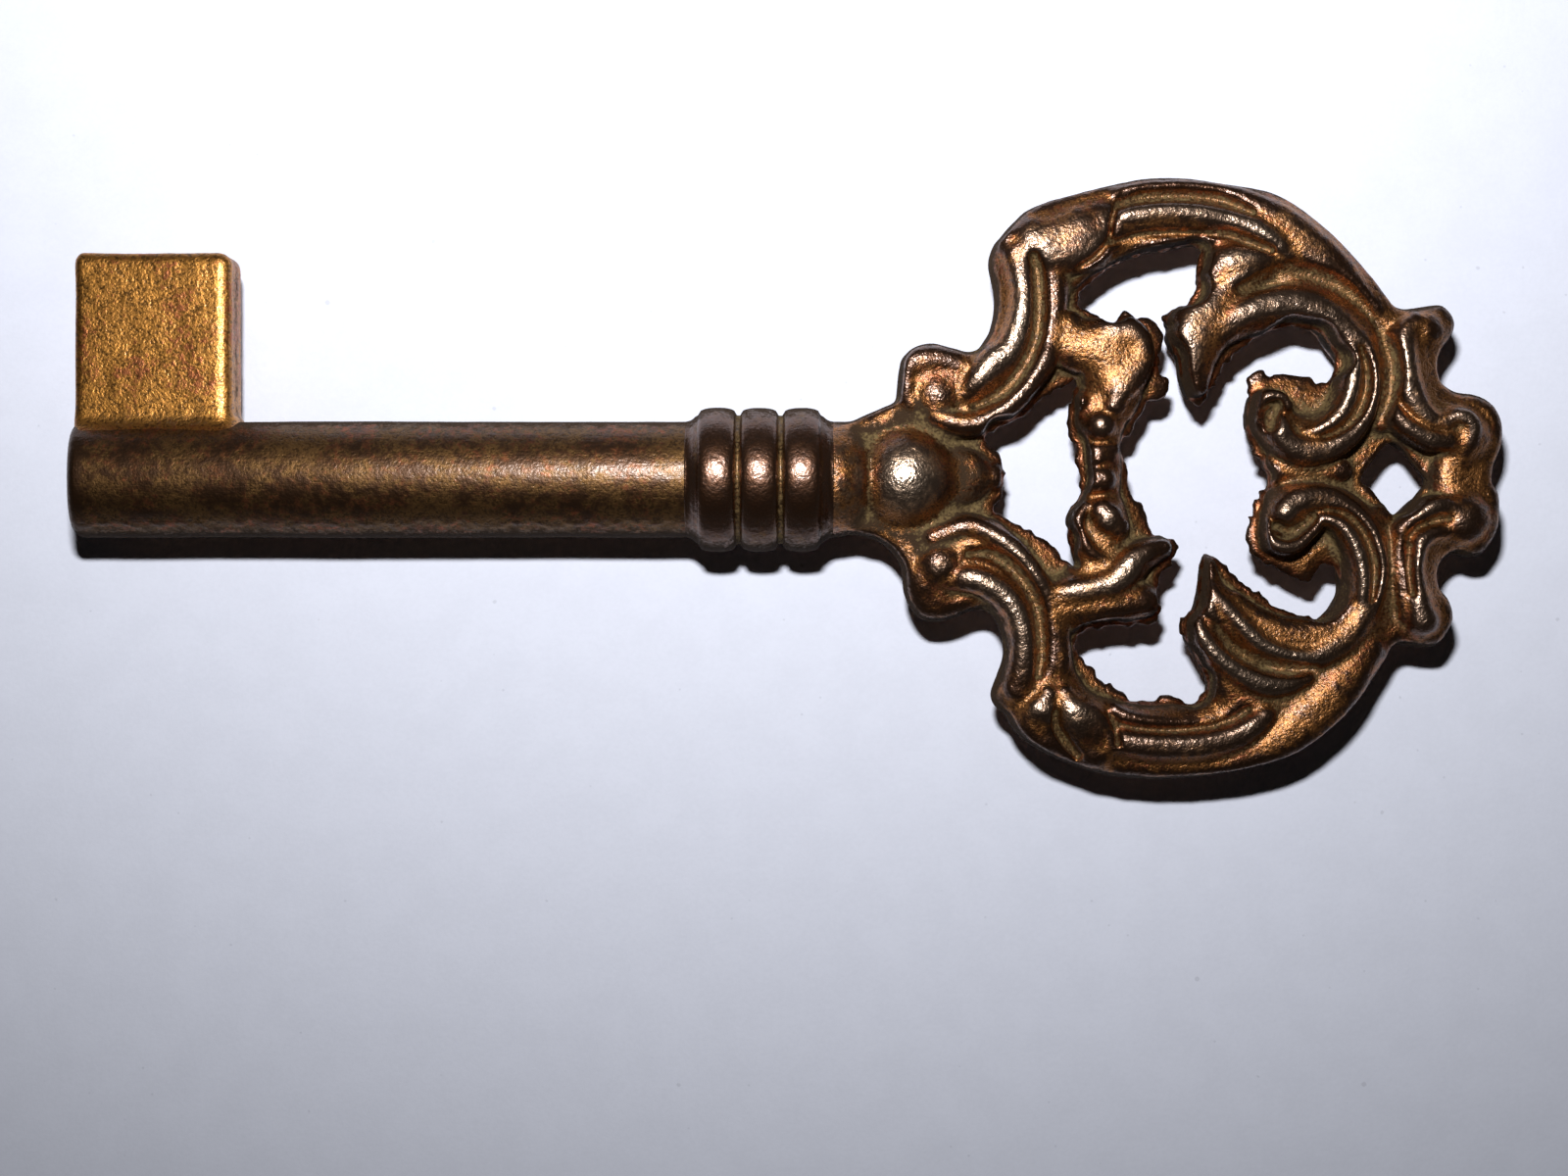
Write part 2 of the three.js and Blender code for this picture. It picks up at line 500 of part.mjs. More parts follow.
// Neck, ball boss and tenon, turned about the axis
function neckSolid() {
  const tenonStart = barrelEnd - tenonLength;
  const waist = collarEnd + neckLength * neckWaistShare;
  const crease = ballCentre - Math.sqrt(ballRadius ** 2 - (neckCreaseDiameter / 2) ** 2);
  const profile = [
    [tenonStart, 0],
    [tenonStart, tenonRadius],
    [barrelEnd, tenonRadius],
    [barrelEnd, barrelRadius],
    [collarEnd, barrelRadius],
    [waist, neckWaistDiameter / 2],
  ];
  const firstAngle = Math.acos((ballCentre - crease) / ballRadius);
  for (let step = 0; step <= ballSteps; step += 1) {
    const angle = firstAngle + (Math.PI - firstAngle) * step / ballSteps;
    const radius = step === ballSteps ? 0 : ballRadius * Math.sin(angle);
    profile.push([ballCentre - ballRadius * Math.cos(angle), radius]);
  }
  return turned(profile).subtract(pinHole());
}

function bowPoint([along, across]) {
  return new THREE.Vector2(ballCentre + along * bowReach, across * bowHalfWidth);
}

// Everything inside the bow's outline and outside its openings, taller than the relief
function outlineSolid() {
  const shape = new THREE.Shape(bowOutlineShares.map(bowPoint));
  // Openings run the other way round than the outline
  for (const opening of [lowOpeningShares, centralOpeningShares, crestOpeningShares]) {
    shape.holes.push(new THREE.Path(opening.map(bowPoint).reverse()));
  }
  const halfHeight = reliefHeight + cutOverrun;
  const solid = new THREE.ExtrudeGeometry(shape, { depth: 2 * halfHeight, bevelEnabled: false });
  solid.translate(0, 0, -halfHeight);
  return solidFrom(solid);
}

// The thin web that the bars and ribs stand on, before it is cut to the outline
function webSolid() {
  const start = collarEnd;
  const end = ballCentre + bowReach + cutOverrun;
  const across = 2 * (bowHalfWidth + cutOverrun);
  const web = new THREE.BoxGeometry(end - start, across, 2 * webHalfThickness);
  web.translate((start + end) / 2, 0, 0);
  return solidFrom(web);
}

// A closed bar along a curve through its rows, with a section that follows each row's width and height
function barSolid(rows, sectionShares) {
  const spine = new THREE.CatmullRomCurve3(
    rows.map(([along, across]) => new THREE.Vector3(ballCentre + along * bowReach, across * bowHalfWidth, 0)),
    false,
    'catmullrom',
  );
  const section = [...sectionShares, ...sectionShares.map(([side, up]) => [-side, -up])];
  const last = rows.length - 1;
  const rings = rows.map(([, , widthShare, heightShare], index) => {
    const centre = spine.getPoint(index / last);
    const direction = spine.getTangent(index / last);
    const side = new THREE.Vector3(-direction.y, direction.x, 0);
    return section.map(([across, up]) => centre.clone()
      .addScaledVector(side, across * widthShare * bowHalfWidth)
      .setZ(up * heightShare * reliefHeight));
  });
  const tipAt = (index, outward) => spine.getPoint(index / last)
    .addScaledVector(spine.getTangent(index / last), outward * rows[index][2] * bowHalfWidth * endTipShare);
  return loft(rings, tipAt(0, -1), tipAt(last, 1));
}

// Joins rings of points into one closed skin that ends in two tips
function loft(rings, firstTip, lastTip) {
  const size = rings[0].length;
  const points = [...rings.flat(), firstTip, lastTip];
  const firstTipIndex = points.length - 2;
  const lastTipIndex = points.length - 1;
  const lastRing = (rings.length - 1) * size;
  const faces = [];
  for (let corner = 0; corner < size; corner += 1) {
    const next = (corner + 1) % size;
    faces.push(firstTipIndex, next, corner);
    faces.push(lastTipIndex, lastRing + corner, lastRing + next);
    for (let ring = 0; ring < rings.length - 1; ring += 1) {
      const near = ring * size;
      const far = near + size;
      faces.push(near + corner, near + next, far + next);
      faces.push(near + corner, far + next, far + corner);
    }
  }
  const geometry = new THREE.BufferGeometry().setFromPoints(points);
  geometry.setIndex(faces);
  return solidFrom(geometry);
}

function bossSolid([along, across, radiusShare, heightShare]) {
  const boss = new THREE.IcosahedronGeometry(1, bossDetail);
  const radius = radiusShare * bowHalfWidth;
  boss.scale(radius, radius, heightShare * reliefHeight);
  boss.translate(ballCentre + along * bowReach, across * bowHalfWidth, 0);
  return solidFrom(boss);
}

function bowSolid() {
  const bars = [
    ...Object.values(bodyShares).map((rows) => barSolid(rows, barSectionShares)),
    ...Object.values(ribShares).map((rows) => barSolid(rows, ribSectionShares)),
    ...Object.values(bossShares).map(bossSolid),
  ];
  return joined([webSolid(), ...bars]).intersect(outlineSolid()).add(neckSolid());
}

function piece(name, solid, colour, roughness) {
  const material = new THREE.MeshStandardMaterial({ color: colour, roughness, metalness: 1 });
  const mesh = new THREE.Mesh(geometryFrom(solid), material);
  mesh.name = name;
  return mesh;
}

const key = new THREE.Group();
key.add(
  piece('barrel', barrelSolid(), '#6a4a28', 0.4),
  piece('bit', bitSolid(), '#9a7138', 0.45),
  piece('collar', collarSolid(), '#66452a', 0.42),
  piece('collar_pin', pinSolid(), '#7c5a32', 0.4),
  piece('bow', bowSolid(), '#7a4a2c', 0.4),
);

// The origin goes on the surface, below the middle of the outline
const reach = new THREE.Box3().setFromObject(key);
const middle = reach.getCenter(new THREE.Vector3());
key.position.set(-middle.x, -middle.y, -reach.min.z);
key.updateMatrixWorld(true);

export default key;
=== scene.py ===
import functools
import math

import bpy
import numpy as np
from bpy.props import FloatProperty, FloatVectorProperty, IntProperty, PointerProperty
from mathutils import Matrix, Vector


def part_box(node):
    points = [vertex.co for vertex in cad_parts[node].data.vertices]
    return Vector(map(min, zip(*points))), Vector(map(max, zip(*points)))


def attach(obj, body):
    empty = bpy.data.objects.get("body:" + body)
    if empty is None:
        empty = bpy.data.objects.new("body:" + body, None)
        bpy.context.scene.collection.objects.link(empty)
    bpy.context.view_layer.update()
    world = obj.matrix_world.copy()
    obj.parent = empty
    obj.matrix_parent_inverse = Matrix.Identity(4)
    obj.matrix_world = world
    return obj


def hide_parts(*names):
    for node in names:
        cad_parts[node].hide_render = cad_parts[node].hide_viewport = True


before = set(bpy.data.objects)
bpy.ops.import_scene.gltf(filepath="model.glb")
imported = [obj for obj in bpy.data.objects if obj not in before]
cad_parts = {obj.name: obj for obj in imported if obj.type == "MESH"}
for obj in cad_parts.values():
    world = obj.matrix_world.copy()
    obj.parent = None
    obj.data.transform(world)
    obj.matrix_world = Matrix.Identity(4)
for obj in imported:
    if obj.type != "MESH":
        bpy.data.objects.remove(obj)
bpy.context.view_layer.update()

bl_info = {
    "name": "Barrel Key",
    "version": (1, 0, 0),
    "blender": (4, 5, 0),
    "location": "3D View > Sidebar > Key",
    "description": "Finishes a cast barrel key with an openwork bow round its packed solids",
    "category": "Object",
}

MM = 0.001

barrel_low, barrel_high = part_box("barrel")
bit_low, bit_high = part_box("bit")
collar_low, collar_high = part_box("collar")
pin_low, pin_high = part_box("collar_pin")
bow_low, bow_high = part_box("bow")

# The key's axis runs along X through the middle of the collar
axis_y = (collar_low.y + collar_high.y) / 2
axis_z = (collar_low.z + collar_high.z) / 2
barrel_radius = (barrel_high.z - barrel_low.z) / 2

# Grid, skins and noise
FAR = 3 * MM
TINY = 1e-12
BAR_MARGIN = 0.9 * MM
LINE_STEPS = 6
OUTLINE_STEPS = 5
GROOVE_DEPTH = 1 * MM
SMOOTH_IN = 0.5
SMOOTH_OUT = -0.52
SKIN_ROUNDS = 3
WEAR_ROUNDS = 26
WEAR_DEPTH = 0.16 * MM
NOOK_ROUNDS = 120
NOOK_DEPTH = 0.25 * MM
NOISE_PERIOD = 32
NOISE_GAIN = 2.5

# Roundness of the sections, as powers across and up, and fillets between neighbours
BAR_POWERS = (2.3, 2.8)
RIB_POWERS = (2.5, 4.5)
BOSS_POWER = 4
BAR_FILLET = 0.45 * MM
RIB_FILLET = 0.22 * MM
VALLEY_FILLET = 0.22 * MM
WEB_FILLET = 0.2 * MM
BALL_FILLET = 0.5 * MM
CUT_FILLET = 0.14 * MM
WALL_DRAFT = 0.1

# Casting flash: its width's even and noisy shares, how far its taper and its tint reach in its widths,
# and how low down and how level the tinted metal lies
FLASH_WIDTH_SHARES = (0.25, 0.9)
FLASH_TAPER_SHARE = 2
FLASH_TINT_SHARE = 1.3
FLASH_LOW_SHARES = (0.72, 0.82)
FLASH_STEEP_SHARES = (0.5, 0.9)

# Painted shade, grime and polish: how much of the painted shade low on the sides level metal keeps, how
# much steep faces add, how strongly the ring of grime and painted shade darkens metal round the ball, that
# ring in shares of its radius, and the height in the relief from which worn metal is polished
LEVEL_LOW_SHARE = 0.35
STEEP_SHADE = 0.12
BALL_GRIME_AND_SHADE = 0.68
BALL_GRIME_AND_SHADE_SHARES = (0.8, 1.05, 1.4, 1.8)
POLISH_FROM_SHARE = 0.85
POLISH_GAIN = 2

# Lumps of the castings and of the drawn barrel: size, height and seed of each layer of noise
CAST_LUMPS = ((1.7 * MM, 0.03 * MM, 3), (0.6 * MM, 0.018 * MM, 5), (0.28 * MM, 0.007 * MM, 8))
BIT_LUMPS = ((2.4 * MM, 0.035 * MM, 13), (0.7 * MM, 0.014 * MM, 17), (0.3 * MM, 0.008 * MM, 21))
TURNED_LUMPS = ((6 * MM, 0.03 * MM, 31), (1.5 * MM, 0.01 * MM, 37), (0.5 * MM, 0.004 * MM, 41))

# Noise of the flash's width and of its torn edge: size and seed
FLASH_LUMPS = ((1.6 * MM, 61), (0.34 * MM, 67))

# Turned pieces
TURNED_SEGMENTS = 192
PIN_SEGMENTS = 32
TURNED_STEP = 0.18 * MM
ARC_STEPS = 8
BEAD_POINTS = 14
BORE_EDGE_SHARE = 0.25
BORE_CONE_SHARE = 0.5
PIN_EDGE_SHARE = 1 / 3

# Neck, bit and collar
NECK_OVERLAP = 2.4 * MM
NECK_FALL_POWER = 2.2
GRID_BORDER = 3
BIT_SINK = 0.06 * MM
BIT_SHELL = 0.5 * MM
BIT_EDGE = 0.75 * MM
BIT_TOP_EDGE = 0.7 * MM
BIT_FLARE = 0.35 * MM
COLLAR_PLAY = 0.02 * MM
BEAD_POWER = 2.4
TIP_WEAR_REACH = 4 * MM
SEAM_ANGLE = 54
SEAM_FROM_SHARE = 0.9
SEAM_LUMPS = (0.35 * MM, 71)

# Noises of the materials: size, detail, roughness and shift
METAL_NOISES = {
    "patches": (2.4 * MM, 2, 0.5, 0),
    "mottle": (0.6 * MM, 3, 0.6, 7),
    "grain": (0.15 * MM, 2, 0.6, 19),
    "flecks": (0.3 * MM, 2, 0.6, 43),
}
SCRATCH_NOISE = (0.12 * MM, 3, 0.7, 31)
FIBRE_NOISE = (0.3 * MM, 3, 0.7, 0)
CLOUD_NOISE = (2.5 * MM, 2, 0.6, 5)
SPECK_NOISE = (0.5 * MM, 0, 0.5, 53)

# Layers of the metal: what each is made of, as weights, and the levels where it starts and is whole
SURFACE_KINDS = ("wear", "low", "nook", "flash", "polish")
METAL_LAYERS = {
    "pits": ({"grain": -0.5, "flecks": -0.5}, (-0.55, -0.2)),
    "dust": ({"grain": 0.5, "flecks": 0.4, "patches": 0.4, "wear": -0.8, "nook": 0.5}, (0.85, 1.65)),
    "red": ({"flecks": 0.6, "patches": 0.6}, (0.6, 0.95)),
    "specks": ({"grain": 0.6, "flecks": 0.4}, (-0.1, 1.1)),
}
SKIN_WEIGHTS = {"wear": 0.8, "mottle": 0.35, "patches": 0.3, "flecks": 0.25, "low": -0.4}
SKIN_SPAN = 0.4
# The dark layer is matt painted shade: in recesses, and through the low value on low sides and steep walls,
# broken by random mottle and grain and kept off the flash
DARK_WEIGHTS = {"nook": 0.35, "mottle": 0.3, "grain": 0.3, "flash": -1}
DARK_LEVELS = (0.85, 1.3)
COVER_WEIGHTS = {"mottle": 0.2, "skin": 0.3, "pits": 0.15}

# How far one layer tints or hides the one below
COPPER_SHARE = 0.8
OLIVE_SHARE = 0.6
PIT_SHARE = 0.6
SKIN_GRAIN_SHARE = 0.5
COVER_SHARE = 0.15
POLISH_COVER_SHARE = 0.5
DUST_COVER_SHARE = 0.2
GRAINY_DUST_SHARE = 0.35

# Roughness and shine of the layers
SKIN_SMOOTHING = 0.08
POLISH_SMOOTHING = 0.1
GRIME_ROUGHNESS = 0.25
GRIME_SPECULAR = 0.85
DUST_ROUGHNESS = 0.9
DUST_SPECULAR = 0.1

# Scratches, heights of the grain, and the paper's fibres, clouds and specks
SCRATCH_STRETCH = (0.05, 1, 1)
SCRATCH_HEIGHT = 0.003 * MM
BOW_GRAIN = 0.018 * MM
BARREL_GRAIN = 0.009 * MM
BIT_GRAIN = 0.011 * MM
COLLAR_GRAIN = 0.01 * MM
FIBRE_HEIGHT = 0.004 * MM
CLOUD_SHADE = 0.95
SPECK_LEVELS = (1.35, 1.5)
SPECK_SHADE = 0.5
SPECK_SHARE = 0.3
PAPER_ROUGHNESS = 0.85
PAPER_SPECULAR = 0.2

# The photograph's frame: a camera straight above, with its picture's places in pixels
IMAGE_WIDTH_PIXELS = 1600
IMAGE_MIDDLE_X_PIXEL = 800
IMAGE_MIDDLE_Y_PIXEL = 600
TIP_PIXEL = 80
AXIS_PIXEL = 489.5
PIXEL_SIZE = 0.0538 * MM
CAMERA_HEIGHT = 107 * MM
CAMERA_NEAR_SHARE = 0.01
SENSOR_WIDTH = 36

# Stage
FLOOR_SIZE = 3000 * MM
LAMP_PLACE = (-5 * MM, 31 * MM, 104 * MM)
LAMP_TARGET = (5 * MM, 110 * MM)
LAMP_SIZE = 10 * MM
LAMP_POWER = 0.225
AMBIENT_STRENGTH = 0.004
HORIZON_STRENGTH = 0.09
HORIZON_HEIGHT_SHARE = 0.8
LIT_REACH = 58 * MM
LIT_FADE_SHARE = 1.4

# Outline of the bow and of its openings, read off the photograph: shares of the bow's reach
# from the ball's middle and of its half width
OUTLINE_SHARES = (
    (-0.16, 0.12), (-0.125, 0.175), (-0.089, 0.212), (-0.062, 0.235), (-0.037, 0.258), (-0.032, 0.3),
    (-0.027, 0.386), (-0.017, 0.419), (0, 0.442), (0.029, 0.452), (0.062, 0.435), (0.087, 0.422),
    (0.106, 0.432), (0.119, 0.468), (0.128, 0.504), (0.134, 0.563), (0.134, 0.622), (0.129, 0.668),
    (0.124, 0.721), (0.131, 0.777), (0.146, 0.813), (0.166, 0.856), (0.188, 0.895), (0.217, 0.921),
    (0.247, 0.938), (0.314, 0.97), (0.387, 1), (0.449, 1.003), (0.516, 0.987), (0.583, 0.967),
    (0.617, 0.947), (0.65, 0.911), (0.692, 0.846), (0.734, 0.767), (0.771, 0.685), (0.798, 0.612),
    (0.812, 0.58), (0.832, 0.567), (0.864, 0.573), (0.894, 0.58), (0.911, 0.553), (0.918, 0.514),
    (0.911, 0.471), (0.896, 0.432), (0.889, 0.376), (0.896, 0.323), (0.919, 0.291), (0.953, 0.281),
    (0.978, 0.258), (0.993, 0.218), (1, 0.163), (0.997, 0.103), (0.985, 0.044), (0.982, -0.008),
    (0.992, -0.044), (0.995, -0.1), (0.992, -0.166), (0.978, -0.218), (0.96, -0.251), (0.939, -0.255),
    (0.919, -0.245), (0.901, -0.264), (0.889, -0.3), (0.891, -0.356), (0.909, -0.406), (0.916, -0.455),
    (0.908, -0.504), (0.886, -0.553), (0.852, -0.557), (0.817, -0.55), (0.798, -0.612), (0.776, -0.675),
    (0.748, -0.747), (0.711, -0.819), (0.667, -0.888), (0.62, -0.934), (0.55, -0.97), (0.482, -0.99),
    (0.415, -0.997), (0.348, -0.99), (0.284, -0.961), (0.23, -0.921), (0.187, -0.872), (0.165, -0.826),
    (0.153, -0.783), (0.134, -0.75), (0.129, -0.711), (0.141, -0.649), (0.15, -0.586), (0.146, -0.521),
    (0.134, -0.465), (0.118, -0.435), (0.096, -0.435), (0.071, -0.455), (0.042, -0.471), (0.012, -0.468),
    (-0.007, -0.435), (-0.02, -0.379), (-0.025, -0.291), (-0.045, -0.235), (-0.072, -0.199),
    (-0.103, -0.182), (-0.14, -0.12),
)
LOW_OPENING_SHARES = (
    (0.118, 0.14), (0.15, 0.176), (0.18, 0.212), (0.213, 0.261), (0.247, 0.31), (0.276, 0.327),
    (0.262, 0.245), (0.257, 0.195), (0.261, 0.153), (0.272, 0.113), (0.276, 0.048), (0.279, -0.025),
    (0.281, -0.061), (0.262, -0.097), (0.257, -0.133), (0.261, -0.209), (0.272, -0.287), (0.252, -0.264),
    (0.227, -0.218), (0.197, -0.176), (0.166, -0.14), (0.134, -0.103), (0.145, -0.051), (0.15, 0.015),
    (0.139, 0.084),
)
CENTRAL_OPENING_SHARES = (
    (0.276, 0.596), (0.292, 0.645), (0.319, 0.688), (0.348, 0.727), (0.382, 0.754), (0.427, 0.77),
    (0.461, 0.78), (0.486, 0.767), (0.484, 0.721), (0.477, 0.675), (0.482, 0.642), (0.477, 0.612),
    (0.457, 0.58), (0.432, 0.56), (0.422, 0.534), (0.432, 0.511), (0.43, 0.481), (0.444, 0.419),
    (0.455, 0.333), (0.466, 0.274), (0.482, 0.245), (0.499, 0.268), (0.513, 0.333), (0.528, 0.383),
    (0.553, 0.429), (0.583, 0.475), (0.617, 0.501), (0.654, 0.504), (0.687, 0.488), (0.711, 0.432),
    (0.718, 0.376), (0.709, 0.333), (0.692, 0.32), (0.667, 0.346), (0.617, 0.356), (0.605, 0.346),
    (0.597, 0.369), (0.58, 0.363), (0.568, 0.327), (0.571, 0.281), (0.566, 0.212), (0.568, 0.14),
    (0.583, 0.074), (0.607, 0.008), (0.587, -0.051), (0.573, -0.117), (0.568, -0.192), (0.578, -0.248),
    (0.605, -0.291), (0.637, -0.317), (0.662, -0.343), (0.681, -0.33), (0.697, -0.287), (0.714, -0.287),
    (0.726, -0.337), (0.726, -0.383), (0.713, -0.432), (0.687, -0.468), (0.661, -0.455), (0.617, -0.422),
    (0.583, -0.376), (0.553, -0.34), (0.533, -0.291), (0.504, -0.248), (0.491, -0.264), (0.484, -0.346),
    (0.477, -0.415), (0.461, -0.445), (0.45, -0.478), (0.457, -0.527), (0.477, -0.586), (0.496, -0.658),
    (0.492, -0.718), (0.476, -0.75), (0.455, -0.737), (0.437, -0.718), (0.415, -0.731), (0.39, -0.744),
    (0.365, -0.734), (0.339, -0.695), (0.314, -0.658), (0.292, -0.612), (0.274, -0.567), (0.281, -0.517),
    (0.323, -0.494), (0.373, -0.484), (0.408, -0.478), (0.418, -0.435), (0.41, -0.383), (0.422, -0.314),
    (0.445, -0.255), (0.444, -0.205), (0.42, -0.189), (0.4, -0.169), (0.387, -0.094), (0.368, -0.044),
    (0.363, 0.008), (0.361, 0.067), (0.348, 0.103), (0.361, 0.143), (0.378, 0.192), (0.388, 0.215),
    (0.393, 0.258), (0.415, 0.268), (0.434, 0.3), (0.432, 0.337), (0.415, 0.369), (0.417, 0.425),
    (0.422, 0.488), (0.403, 0.53), (0.376, 0.54), (0.361, 0.567), (0.345, 0.53), (0.321, 0.527),
    (0.308, 0.557), (0.287, 0.567),
)
CREST_OPENING_SHARES = (
    (0.76, -0.002), (0.778, 0.057), (0.798, 0.107), (0.815, 0.123), (0.832, 0.1), (0.852, 0.048),
    (0.874, -0.005), (0.861, -0.041), (0.839, -0.094), (0.815, -0.12), (0.797, -0.084), (0.778, -0.034),
)

# Bars, in rows of place along, place across, half width and half height. The first is a share of
# the bow's reach, the next two of its half width and the last of the relief's height
BAR_SHARES = {
    "upper_arm": [
        (0.01, 0.332, 0.085, 0.76), (0.049, 0.322, 0.1, 0.76), (0.089, 0.312, 0.11, 0.76),
        (0.131, 0.322, 0.118, 0.76), (0.163, 0.396, 0.118, 0.76), (0.185, 0.485, 0.12, 0.76),
        (0.195, 0.585, 0.125, 0.76), (0.2, 0.684, 0.135, 0.76), (0.212, 0.763, 0.14, 0.76)],
    "upper_shoulder": [
        (-0.12, 0.05, 0.14, 0.7), (-0.08, 0.08, 0.15, 0.6), (-0.03, 0.15, 0.15, 0.56),
        (0.01, 0.25, 0.13, 0.62)],
    "lower_shoulder": [
        (-0.12, -0.05, 0.14, 0.7), (-0.08, -0.08, 0.15, 0.6), (-0.03, -0.15, 0.15, 0.56),
        (0.01, -0.25, 0.13, 0.62)],
    "upper_saddle": [
        (0, 0.188, 0.09, 0.56), (0.059, 0.203, 0.08, 0.64), (0.119, 0.233, 0.07, 0.76)],
    "lower_saddle": [
        (0, -0.188, 0.09, 0.56), (0.059, -0.178, 0.08, 0.64), (0.119, -0.198, 0.07, 0.76)],
    "top_arch": [
        (0.183, 0.793, 0.085, 0.76), (0.222, 0.812, 0.11, 0.79), (0.267, 0.808, 0.135, 0.79),
        (0.316, 0.842, 0.12, 0.76), (0.375, 0.867, 0.112, 0.73), (0.435, 0.872, 0.112, 0.73),
        (0.494, 0.862, 0.112, 0.73), (0.553, 0.822, 0.125, 0.73), (0.612, 0.773, 0.135, 0.73),
        (0.667, 0.708, 0.13, 0.73), (0.709, 0.614, 0.125, 0.73), (0.741, 0.495, 0.105, 0.73),
        (0.753, 0.377, 0.088, 0.73), (0.749, 0.277, 0.085, 0.73), (0.726, 0.188, 0.085, 0.73),
        (0.682, 0.139, 0.08, 0.73), (0.632, 0.144, 0.085, 0.73), (0.601, 0.198, 0.075, 0.73)],
    "upper_leaf": [
        (0.477, 0.307, 0.035, 0.76), (0.48, 0.396, 0.06, 0.79), (0.494, 0.495, 0.085, 0.85),
        (0.519, 0.594, 0.105, 0.83), (0.538, 0.684, 0.11, 0.81), (0.553, 0.753, 0.1, 0.76)],
    "upper_inner_scroll": [
        (0.524, 0.515, 0.07, 0.81), (0.573, 0.55, 0.075, 0.83), (0.632, 0.565, 0.085, 0.83),
        (0.692, 0.525, 0.09, 0.81), (0.731, 0.436, 0.08, 0.76)],
    "left_leaf": [
        (0.212, 0.476, 0.085, 0.73), (0.257, 0.456, 0.09, 0.81), (0.306, 0.436, 0.085, 0.85),
        (0.356, 0.431, 0.07, 0.81)],
    "link": [
        (0.316, 0.426, 0.09, 0.81), (0.331, 0.357, 0.115, 0.81), (0.331, 0.287, 0.105, 0.76),
        (0.314, 0.213, 0.095, 0.73), (0.311, 0.129, 0.075, 0.67), (0.311, 0.03, 0.078, 0.67),
        (0.312, -0.059, 0.072, 0.61), (0.316, -0.139, 0.09, 0.71), (0.311, -0.228, 0.095, 0.71),
        (0.306, -0.327, 0.105, 0.76)],
    "lower_leaf": [
        (0.212, -0.436, 0.09, 0.73), (0.257, -0.411, 0.1, 0.78), (0.306, -0.401, 0.095, 0.81),
        (0.356, -0.401, 0.08, 0.76), (0.385, -0.406, 0.06, 0.71)],
    "lower_leaf_tip": [
        (0.316, -0.337, 0.08, 0.78), (0.351, -0.297, 0.075, 0.78), (0.38, -0.258, 0.06, 0.73),
        (0.415, -0.23, 0.04, 0.61)],
    "lower_arm": [
        (0.015, -0.332, 0.08, 0.73), (0.054, -0.287, 0.1, 0.76), (0.094, -0.258, 0.105, 0.76),
        (0.133, -0.272, 0.105, 0.76), (0.163, -0.342, 0.105, 0.76), (0.188, -0.426, 0.108, 0.76),
        (0.202, -0.525, 0.112, 0.76), (0.207, -0.614, 0.12, 0.76), (0.212, -0.694, 0.135, 0.76),
        (0.232, -0.783, 0.14, 0.78)],
    "bottom_arch": [
        (0.188, -0.763, 0.08, 0.73), (0.227, -0.803, 0.12, 0.78), (0.277, -0.832, 0.13, 0.78),
        (0.336, -0.857, 0.12, 0.73), (0.395, -0.867, 0.118, 0.73), (0.454, -0.867, 0.118, 0.73),
        (0.514, -0.852, 0.12, 0.73), (0.573, -0.812, 0.135, 0.73), (0.632, -0.743, 0.145, 0.73),
        (0.687, -0.654, 0.14, 0.73), (0.731, -0.545, 0.12, 0.73), (0.759, -0.426, 0.1, 0.73),
        (0.769, -0.307, 0.09, 0.73), (0.759, -0.198, 0.085, 0.73), (0.726, -0.119, 0.08, 0.73),
        (0.682, -0.084, 0.08, 0.73), (0.632, -0.099, 0.085, 0.73), (0.605, -0.159, 0.07, 0.73)],
    "lower_right_leaf": [
        (0.491, -0.297, 0.04, 0.61), (0.494, -0.367, 0.055, 0.73), (0.499, -0.446, 0.085, 0.83),
        (0.514, -0.535, 0.1, 0.83), (0.533, -0.634, 0.11, 0.83), (0.558, -0.723, 0.11, 0.78)],
    "lower_inner_scroll": [
        (0.514, -0.416, 0.06, 0.81), (0.553, -0.485, 0.075, 0.83), (0.603, -0.535, 0.08, 0.83),
        (0.662, -0.555, 0.085, 0.83), (0.711, -0.515, 0.085, 0.81), (0.741, -0.436, 0.08, 0.76)],
    "crest_upper": [
        (0.869, 0.485, 0.06, 0.73), (0.84, 0.446, 0.07, 0.76), (0.83, 0.367, 0.078, 0.76),
        (0.838, 0.277, 0.08, 0.76), (0.867, 0.203, 0.082, 0.76), (0.914, 0.159, 0.085, 0.81),
        (0.934, 0.129, 0.08, 0.81)],
    "crest_lower": [
        (0.934, -0.129, 0.085, 0.81), (0.889, -0.144, 0.085, 0.76), (0.855, -0.198, 0.08, 0.76),
        (0.842, -0.287, 0.075, 0.76), (0.845, -0.377, 0.075, 0.76), (0.859, -0.456, 0.065, 0.73)],
    "crest_waist": [
        (0.924, 0.109, 0.07, 0.67), (0.914, 0, 0.085, 0.59), (0.924, -0.109, 0.07, 0.67)],
    "crest_root_upper": [
        (0.766, 0.594, 0.07, 0.55), (0.795, 0.485, 0.06, 0.51), (0.798, 0.357, 0.05, 0.51),
        (0.795, 0.238, 0.055, 0.51), (0.79, 0.188, 0.04, 0.49)],
    "crest_root_lower": [
        (0.79, -0.129, 0.045, 0.49), (0.802, -0.228, 0.05, 0.51), (0.805, -0.347, 0.05, 0.51),
        (0.802, -0.456, 0.055, 0.51), (0.81, -0.515, 0.04, 0.49)],
    "volute_waist": [
        (0.603, 0.03, 0.045, 0.51), (0.662, 0.03, 0.05, 0.51), (0.721, 0.03, 0.045, 0.51)],
    "ball_leaf": [
        (0.069, 0.01, 0.11, 0.61), (0.104, 0.01, 0.085, 0.51), (0.126, 0.01, 0.05, 0.37)],
}

